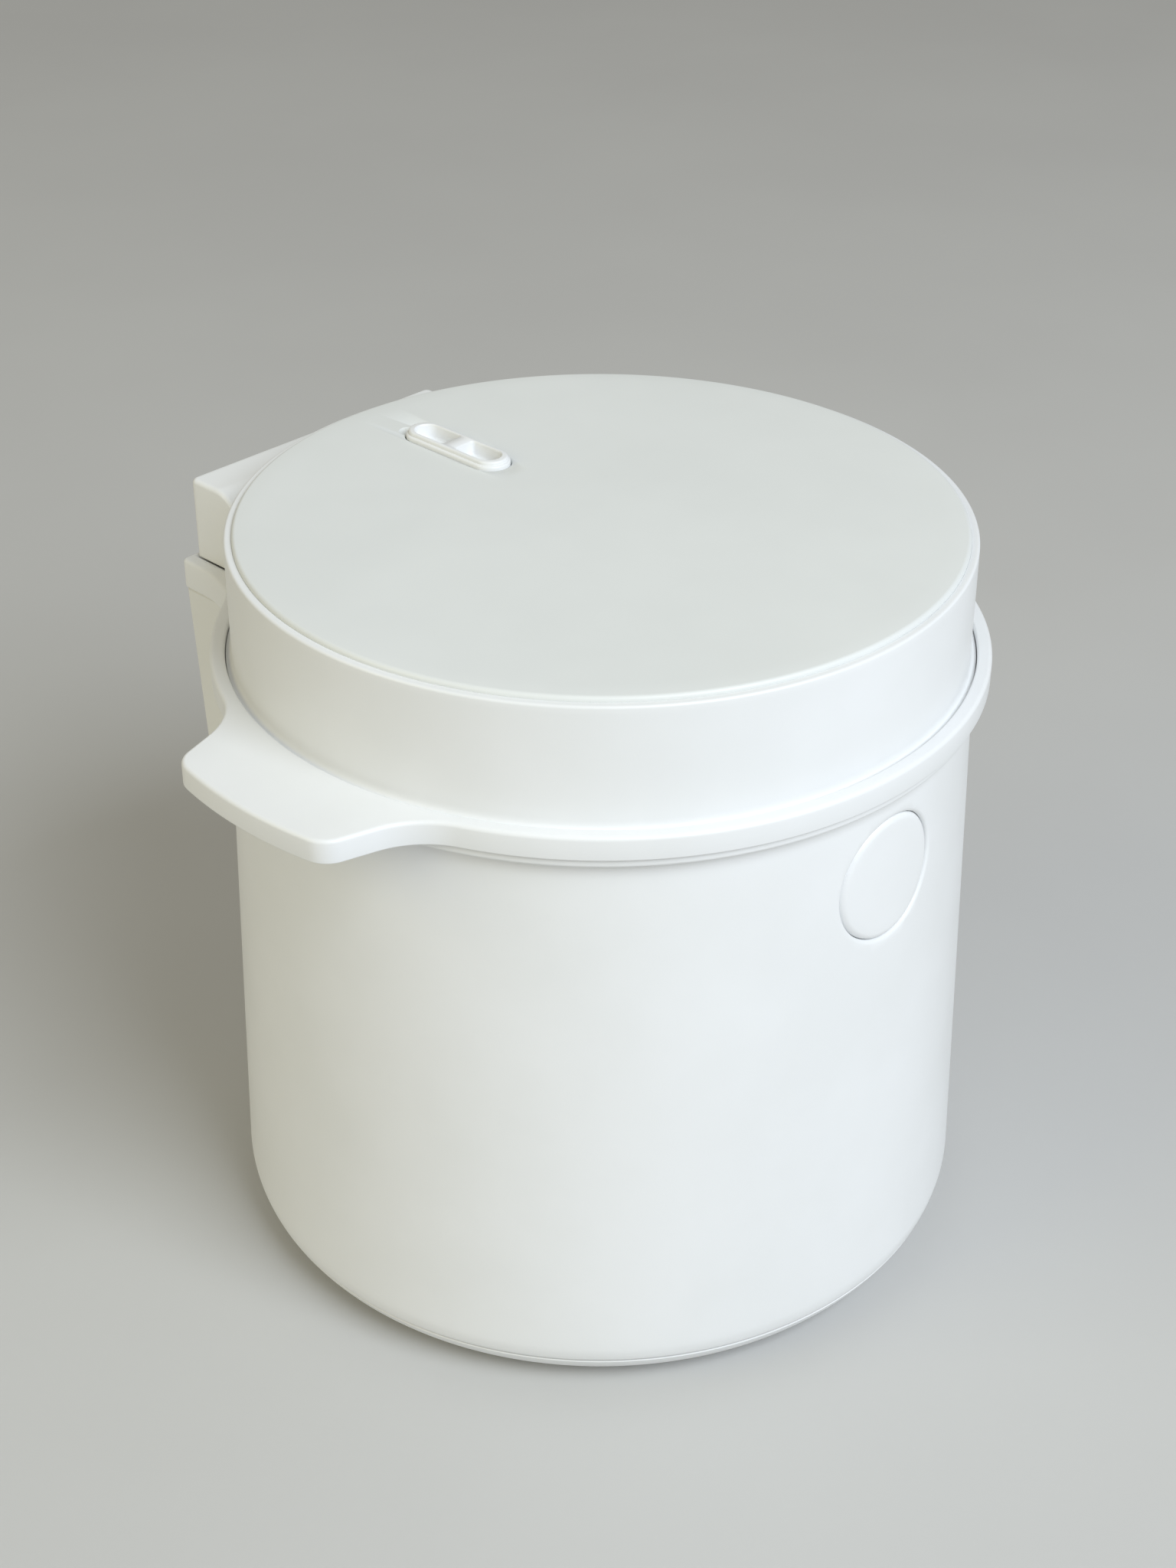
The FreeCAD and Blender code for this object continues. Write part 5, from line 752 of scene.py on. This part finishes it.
rim_ring = skin("rim_and_ears", loops, wrap=True)
print("loops in all:", len(loops))

# %% Gate, trough and hinge lugs of the rim ring
GATE_HALF = 56
TROUGH_HALF = 54.9
TROUGH_RADIUS = 20.78
DRAIN_RADIUS = 2.5
CATCH_HALF = 9
CATCH_DEPTH = (-116, -107.4)
HINGE = (129, 229)
PIN_RADIUS = 2.05
BORE_HALF = 43
LUG_RADIUS = 5.5
LUG_FOOT = 207.8
LUG_SPAN = (30, 37)
# Cutting tools reach past the ring to these places
PAST_FOOT = 200
PAST_TOP = 225
PAST_BACK = 150


def bar(name, outline, first, last):
    """Stretch an outline of (y, z) points along X."""
    return skin(name, [[(x, y, z) for y, z in outline] for x in (first, last)])


carve(rim_ring, block("gate", (-GATE_HALF, TOP_RAMP[0], LEDGE), (GATE_HALF, PAST_BACK, PAST_TOP)))
carve(rim_ring, bar("trough", circle(HINGE, TROUGH_RADIUS, 72), -TROUGH_HALF, TROUGH_HALF))
carve(rim_ring, prism("drain", circle((0, HINGE[0]), DRAIN_RADIUS), PAST_FOOT, PAST_TOP))
window_low = (-CATCH_HALF, CATCH_DEPTH[0], PAST_FOOT)
window_high = (CATCH_HALF, CATCH_DEPTH[1], PAST_TOP)
carve(rim_ring, block("catch_window", window_low, window_high))
lug = arc(HINGE, LUG_RADIUS, 0, 180, 20)
lug += [(HINGE[0] - LUG_RADIUS, LUG_FOOT), (HINGE[0] + LUG_RADIUS, LUG_FOOT)]
for side in (-1, 1):
    carve(rim_ring, bar("lug", lug, side * LUG_SPAN[0], side * LUG_SPAN[1]), "UNION")
carve(rim_ring, bar("lug_bores", circle(HINGE, PIN_RADIUS), -BORE_HALF, BORE_HALF))
dress(rim_ring, "base", "rim_ring", "white_shell")

# %% [markdown]
# ## Lid with its hinge block
#
# The lid is a turned wall with a small flare at its foot, and the hinge block grows out of its rear
# with hollows at each side. The block's top is flat at the rear and rolls down towards the lid, so its
# height depends only on how far back it is. That lets straight strips from side to side close the top
# exactly. The block is joined on and then hollowed from below for the ring's lugs.

# %% Hinge block
BLOCK_HALF = 54.5
BLOCK_BACK = 139.5
BLOCK_TOP = 240.6
BLOCK_FOOT = 211.75
BLOCK_ROOT = 116.8
BLOCK_CORNER = 2.5
BLOCK_EDGE = 1.7
BLOCK_CHAMFER = 0.25
FLAT_EDGE = 126
ROLL = 10
SLOPE = math.radians(40)
HOLLOW_CENTRE = (64.5, 110.6)
HOLLOW_RADIUS = 10
HOLLOW_END = 218
PAST_LID = 260

BLOCK_SIDE = arc((BLOCK_HALF - BLOCK_CORNER, BLOCK_BACK - BLOCK_CORNER), BLOCK_CORNER, 90, 0, 8)
BLOCK_SIDE += [(BLOCK_HALF, y) for y in stations(BLOCK_BACK - BLOCK_CORNER, HOLLOW_CENTRE[1], 26)[1:]]
BLOCK_SIDE += arc(HOLLOW_CENTRE, HOLLOW_RADIUS, 180, HOLLOW_END, 12)[1:]


def block_height(y):
    """Height of the block's top at a distance back."""
    before = FLAT_EDGE - y
    if before <= 0:
        return BLOCK_TOP
    if before < ROLL * math.sin(SLOPE):
        return BLOCK_TOP - ROLL + math.sqrt(ROLL ** 2 - before ** 2)
    steep = (before - ROLL * math.sin(SLOPE)) * math.tan(SLOPE)
    return BLOCK_TOP - ROLL * (1 - math.cos(SLOPE)) - steep


def pushed(path, distance):
    """An open path moved to its right by a distance."""
    moved = []
    for index, point in enumerate(path):
        way = Vector(path[min(index + 1, len(path) - 1)]) - Vector(path[max(index - 1, 0)])
        moved.append(Vector(point) - left_of(way.normalized()) * distance)
    return moved


def block_loop(shrink, height):
    """A loop round the block: its right side drawn in by a distance, and the mirror image of that side."""
    side = [(x, y, height(y)) for x, y in pushed(BLOCK_SIDE, shrink)]
    return [(-x, y, z) for x, y, z in side] + list(reversed(side))


loops = [block_loop(BLOCK_CHAMFER, lambda y: BLOCK_FOOT)]
loops.append(block_loop(0, lambda y: BLOCK_FOOT + BLOCK_CHAMFER))
for angle in stations(0, math.pi / 2, 7):
    drop = BLOCK_EDGE * (1 - math.sin(angle))
    loops.append(block_loop(BLOCK_EDGE * (1 - math.cos(angle)), lambda y: block_height(y) - drop))
hinge_block = skin("hinge_block", loops, ladder=True)
carve(hinge_block, lathe("lid_inside", rectangle((0, PAST_FOOT), (BLOCK_ROOT, PAST_LID))))
print("hinge block:", len(hinge_block.data.polygons), "faces")

# %% Lid wall
LID_FOOT = 212
LID_TOP = 253.2
LID_OUTER = (118.2, 118)
LID_INNER = (115.7, 115.5)
LID_EDGE = 0.9
RIM_INNER = 115.4
SHELF = (248.5, 250.5)
SHELF_INNER = 111.1
FLARE = (120.1, 213.2)
FLARE_SIZE = (1.93, 3.4)
FLARE_LAND = 0.2
FLARE_START = 0.12
WALL_START = 0.15
FOOT_EDGES = (0.4, 0.25)

lid_section = [(LID_INNER[0], LID_FOOT, FOOT_EDGES[0]), (FLARE[0], LID_FOOT, FOOT_EDGES[1])]
lid_section.append((FLARE[0], FLARE[1] - FLARE_LAND))
for angle in stations(FLARE_START, math.pi / 2, 10):
    rise = FLARE_SIZE[1] * (1 - math.cos(angle))
    lid_section.append((FLARE[0] - FLARE_SIZE[0] * math.sin(angle), FLARE[1] + rise))
for share in stations(WALL_START, 1, 12)[:-1]:
    outer = LID_OUTER[0] + (LID_OUTER[1] - LID_OUTER[0]) * share
    lid_section.append((outer, LID_FOOT + (LID_TOP - LID_FOOT) * share))
lid_section += [(LID_OUTER[1], LID_TOP, LID_EDGE), (RIM_INNER, LID_TOP, FINE_EDGE), (RIM_INNER, SHELF[1])]
lid_section += [(SHELF_INNER, SHELF[1]), (SHELF_INNER, SHELF[0]), (LID_INNER[1], SHELF[0])]
lid_wall = lathe("lid_wall", softened(lid_section), segments=320)
carve(lid_wall, hinge_block, "UNION")
print("lid wall with its block:", len(lid_wall.data.polygons), "faces")

# %% Rooms in the hinge block
ROOM_TOP = 236.5
ROOM_DEPTH = (122.5, 137)
SPRING_ROOM = (-25.5, 25.5)
LUG_ROOM = (29.5, 37.5)
LUG_ROOM_FRONT = 121
END_ROOM = (41.5, 52)


def room(name, across, along):
    """A tool for a room under the block's roof, between two places across and two places back."""
    return block(name, (across[0], along[0], PAST_FOOT), (across[1], along[1], ROOM_TOP))


carve(lid_wall, room("spring_room", SPRING_ROOM, ROOM_DEPTH))
for side in (-1, 1):
    lug_span = sorted(side * place for place in LUG_ROOM)
    carve(lid_wall, room("lug_room", lug_span, (LUG_ROOM_FRONT, PAST_BACK)))
    end_span = sorted(side * place for place in END_ROOM)
    carve(lid_wall, room("end_room", end_span, ROOM_DEPTH))
carve(lid_wall, bar("pin_bore", circle(HINGE, PIN_RADIUS), -BORE_HALF, BORE_HALF))
dress(lid_wall, "lid", "lid_shell", "white_shell")

# %% [markdown]
# ## Lid top panel
#
# A separate disc drops into the lid's thin rim and leaves a fine line round it. It has a softer texture
# than the wall, so it looks a shade greyer. The opening for the vent cap is carved with a slightly
# flared edge, and a scoop behind it gives a fingernail room to lift the cap.

# %% Lid top panel
PANEL_TOP = 254.7
PANEL_UNDER = 252.5
PANEL_EDGE = 115.42
PANEL_ROUND = 1.3
PANEL_SKIRT = 112.6
PANEL_ROWS = (108, 80, 40, 0)
VENT = (3.4, 68.8)
VENT_HALF = 15.5
VENT_RADIUS = 6.6
VENT_PLAY = 0.4
VENT_FLARE = 0.9
VENT_REACH = (240, 262)
SCOOP_RADIUS = 5.7
SCOOP_DEPTH = 1.2
SCOOP_ASIDE = 1.6

panel_section = [(0, PANEL_UNDER), (PANEL_SKIRT, PANEL_UNDER), (PANEL_SKIRT, SHELF[1])]
panel_section += [(PANEL_EDGE, SHELF[1], FINE_EDGE), (PANEL_EDGE, PANEL_TOP, PANEL_ROUND)]
panel_section += [(radius, PANEL_TOP) for radius in PANEL_ROWS]
lid_panel = lathe("lid_panel", softened(panel_section, steps=7), segments=320)
# Rows of the opening's tool, each as its gap round the cap and its height
opening = [(VENT_PLAY, VENT_REACH[0]), (VENT_PLAY, PANEL_TOP - 0.6), (VENT_PLAY + 0.15, PANEL_TOP - 0.2)]
opening += [(VENT_FLARE, PANEL_TOP + 0.05), (VENT_FLARE, VENT_REACH[1])]
carve(lid_panel, skin("vent_opening", [
    level(stadium(VENT, VENT_HALF, VENT_RADIUS + gap), height) for gap, height in opening]))
scoop_height = PANEL_TOP + SCOOP_RADIUS - SCOOP_DEPTH
scoop = lathe("finger_scoop", arc((0, scoop_height), SCOOP_RADIUS, -90, 90, 30), segments=48)
for vertex in scoop.data.vertices:
    vertex.co += Vector((VENT[0] - SCOOP_ASIDE, VENT[1] + VENT_HALF + VENT_RADIUS, 0)) * MM
carve(lid_panel, scoop)
dress(lid_panel, "lid", "lid_top_panel", "white_lid")

# %% [markdown]
# ## Steam vent cap
#
# The cap is a slot-shaped plug with two steps. Steam leaves through holes in the floors of two wells,
# which are round at their outer ends and nearly square where they face each other. The plug is a stack
# of slot outlines, and each well is cut with a tool that narrows towards its floor.

# %% Steam vent cap
CAP_TOP = 257.1
CAP_STEP = CAP_TOP - 1.3
CAP_FOOT = 247.7
CAP_UPPER = 5.7
CAP_ROUND = 0.6
CAP_CHAMFER = 0.3
CAP_CREASE = 0.05

tiers = [(VENT_RADIUS - CAP_CHAMFER, CAP_FOOT), (VENT_RADIUS, CAP_FOOT + CAP_CHAMFER)]
tiers += arc((VENT_RADIUS - CAP_ROUND, CAP_STEP - CAP_ROUND), CAP_ROUND, 0, 90, 3)
tiers += [(CAP_UPPER + CAP_CREASE, CAP_STEP), (CAP_UPPER, CAP_STEP + CAP_CREASE)]
tiers += arc((CAP_UPPER - CAP_ROUND, CAP_TOP - CAP_ROUND), CAP_ROUND, 0, 90, 3)
vent_cap = skin("vent_cap", [
    level(stadium(VENT, VENT_HALF, radius, 24), height) for radius, height in tiers])
print("vent cap:", len(tiers), "rows")

# %% Wells and steam holes of the vent cap
WELL_NEAR = 2.9
WELL_FAR = 14.6
WELL_RADIUS = 4.2
WELL_BEND = 1.3
WELL_FLOOR = CAP_TOP - 4.6
STEAM_HOLE = 1.6
STEAM_PLACES = (7.2, 12)
STEAM_REACH = (240, 256)


def well_plan(side, shrink):
    """A well's outline, round at its far end and nearly square at the end by the middle of the cap."""
    radius = WELL_RADIUS - shrink
    near = WELL_NEAR + shrink
    half = arc((radius - WELL_BEND, near + WELL_BEND), WELL_BEND, -90, 0, 6)
    half += arc((0, WELL_FAR), radius, 0, 90, 14)
    plan = half + [(-x, y) for x, y in reversed(half[:-1])]
    return [(VENT[0] + x, VENT[1] + side * y) for x, y in plan]


# Rows of the well's tool, each as how far it is drawn in and its height: a soft floor, then a flared mouth
well_rows = [(0.9, WELL_FLOOR), (0.6, WELL_FLOOR + 0.1), (0.35, WELL_FLOOR + 0.4), (0.25, WELL_FLOOR + 0.9)]
well_rows += [(0, CAP_TOP - 0.6), (-0.1, CAP_TOP - 0.25), (-0.5, CAP_TOP + 0.1), (-0.5, CAP_TOP + 4)]
for side in (-1, 1):
    carve(vent_cap, skin("well", [level(well_plan(side, shrink), height) for shrink, height in well_rows]))
    for place in STEAM_PLACES:
        hole = circle((VENT[0], VENT[1] + side * place), STEAM_HOLE)
        carve(vent_cap, prism("steam_hole", hole, *STEAM_REACH))
dress(vent_cap, "vent", "steam_vent_cap", "white_shell")

# %% [markdown]
# ## Condensate cup
#
# Water that runs off the open lid drips through the trough into a cup behind the body, which pulls out
# to the rear. It is a thin-walled box whose sides lean in a little, so that it leaves its mould, and
# whose front follows the round body. A bevelled cube would not follow that round, so the cup is
# stretched over loops of its plan, and the body's round and the hollow are carved out of it.

# %% Condensate cup
CUP_HALF = 59
CUP_BACK = 141.3
CUP_FRONT = 95
CUP_FOOT = 130.5
CUP_TOP = 200.5
CUP_CORNER = 2
CUP_ROUND = 5
CUP_WALL = 2
CUP_EDGE = 0.4
CUP_FLOOR = CUP_FOOT + 2.5
CUP_PLAY = 0.5
CUP_SLOPE = math.tan(math.radians(1.6))
ROOM_HEIGHTS = (CUP_FOOT - 10, CUP_TOP + 20)


def cup_loop(height, shrink=0, roll=0):
    """The cup's outline at a height, drawn in all round by shrink, and by roll mostly at the back."""
    drawn = (CUP_TOP - height) * CUP_SLOPE + shrink
    half = CUP_HALF - drawn - roll / 3
    back = CUP_BACK - drawn - roll
    side = [(half, CUP_FRONT)] + arc((half - CUP_CORNER, back - CUP_CORNER), CUP_CORNER, 0, 90, 8)
    return level(side + [(-x, y) for x, y in reversed(side)], height)


def body_room(name, gap):
    """The room that the round body takes up, with a gap round it."""
    outside = [(wall_at(height) + gap, height) for height in ROOM_HEIGHTS]
    return lathe(name, [(0, ROOM_HEIGHTS[0]), *outside, (0, ROOM_HEIGHTS[1])])


loops = []
for angle in stations(0, math.pi / 2, 8):
    rise = CUP_ROUND * (1 - math.cos(angle))
    loops.append(cup_loop(CUP_FOOT + rise, roll=CUP_ROUND * (1 - math.sin(angle))))
loops += [cup_loop(height) for height in stations(CUP_FOOT + CUP_ROUND, CUP_TOP - CUP_EDGE, 12)[1:]]
loops.append(cup_loop(CUP_TOP, CUP_EDGE))
drip_cup = carve(skin("condensate_cup", loops), body_room("body_room", CUP_PLAY))
hollow = skin("cup_hollow", [cup_loop(height, CUP_WALL) for height in (CUP_FLOOR, CUP_TOP + 5)])
carve(drip_cup, carve(hollow, body_room("front_wall", CUP_PLAY + CUP_WALL)))
dress(drip_cup, "cup", "drip_cup", "white_inner")

# %% [markdown]
# ## Sensor spring
#
# Under the pot a small wire spring pushes the temperature sensor up, and it gets shorter when the pot
# presses the sensor down. A curve with a round bevel would look the same, but only a mesh can be
# squashed, so the wire is a skin over round loops that follow a helix.

# %% Sensor spring
COIL_SEAT = 70
COIL_RADIUS = 8
COIL_WIRE = 0.5
COIL_TURNS = 4
COIL_PLAY = 0.04
COIL_FOOT = COIL_SEAT + COIL_WIRE + COIL_PLAY
COIL_RISE = 12.62


def wire_loop(share):
    """A round loop about the wire, at a share of the way up the helix."""
    turn = 2 * math.pi * COIL_TURNS * share
    out = Vector((math.cos(turn), math.sin(turn), 0))
    climb = COIL_RISE / (2 * math.pi * COIL_TURNS * COIL_RADIUS)
    along = Vector((-math.sin(turn), math.cos(turn), climb)).normalized()
    middle = out * COIL_RADIUS + Vector((0, 0, COIL_FOOT + COIL_RISE * share))
    return [middle + out * x + along.cross(out) * y for x, y in circle((0, 0), COIL_WIRE, 12)]


sensor_coil = skin("sensor_coil", [wire_loop(share) for share in stations(0, 1, 160)])
dress(sensor_coil, "base", "sensor_spring", "bright_steel")
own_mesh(sensor_coil)

# %% [markdown]
# ## Pieces that keep their solids
#
# The inner workings are turned, stamped and drilled parts whose solids already have the right shape.
# They could be made again as meshes, but that would add nothing that shows. So they keep their shape and
# only take a finish, and the open lid and the air slots show metal, silicone and plastic.

# %% Finishes for the remaining nodes
SLOTS = {row["node"]: row["material_slot"] for row in frame["record"]["subparts"]}
kept = [name for name, node in NODES.items() if not node.hide_render]
for name in kept:
    NODES[name].data.materials.clear()
    NODES[name].data.materials.append(FINISHES[SLOTS[name]])
print("solids kept with a finish:", len(kept))

# %% [markdown]
# ## Floor, light and camera
#
# The cooker stands on a pale table. One large soft lamp from the front gives the bright wall and the
# soft shade at the left, and a weak warm one fills the shade. The camera's place and lens come from
# fitting circles on the rim and the base to the photograph, so the picture can be laid over it.

# %% Floor
FLOOR_HALF = 3

floor_mesh = bmesh.new()
bmesh.ops.create_grid(floor_mesh, x_segments=8, y_segments=8, size=FLOOR_HALF)
floor = as_object("floor", floor_mesh)
floor.data.materials.append(grained(
    "floor_finish", light=(0.58, 0.578, 0.57), dark=(0.565, 0.562, 0.555),
    gloss=(0.6, 0.7), grain=2, depth=0.02, drift=4))
print("floor is", round(floor.dimensions.x, 2), "m wide")

# %% Light
ROOM_LIGHT = 0.36
ROOM_COLOUR = (1, 0.985, 0.92, 1)

scene = bpy.context.scene
scene.view_settings.view_transform = "Standard"


def lamp(name, place, target, size, power, colour):
    """A square soft lamp that looks at a point."""
    data = bpy.data.lights.new(name, "AREA")
    data.size = size
    data.energy = power
    data.color = colour
    made = bpy.data.objects.new(name, data)
    made.location = place
    made.rotation_euler = (Vector(target) - Vector(place)).to_track_quat("-Z", "Y").to_euler()
    scene.collection.objects.link(made)
    return made


lamp("key", place=(-0.2, -1.92, 1.95), target=(0, 0, 0.13), size=1.5, power=60, colour=(0.86, 0.93, 1))
lamp("fill", place=(-2.6, 1.0, 1.5), target=(0, 0, 0.15), size=1.8, power=19, colour=(1, 0.9, 0.5))
world = bpy.data.worlds.new("room")
world.use_nodes = True
world.node_tree.nodes["Background"].inputs["Color"].default_value = ROOM_COLOUR
world.node_tree.nodes["Background"].inputs["Strength"].default_value = ROOM_LIGHT
scene.world = world

# %% Camera
CAMERA_PLACE = Vector((-0.5041, -0.4774, 0.5868))
FORWARD = Vector((0.6132, 0.5875, -0.5281))
ROLL_ANGLE = 0.0020
LENS = 55.97
COOKER_MIDDLE = Vector((0, 0, 0.13))

camera_data = bpy.data.cameras.new("camera")
camera_data.lens = LENS
camera = bpy.data.objects.new("camera", camera_data)
camera.rotation_mode = "QUATERNION"
camera.rotation_quaternion = FORWARD.to_track_quat("-Z", "Y") @ Quaternion((0, 0, 1), ROLL_ANGLE)
camera.location = CAMERA_PLACE
scene.collection.objects.link(camera)
scene.camera = camera
print("camera is", round((CAMERA_PLACE - COOKER_MIDDLE).length, 3), "m from the middle of the cooker")
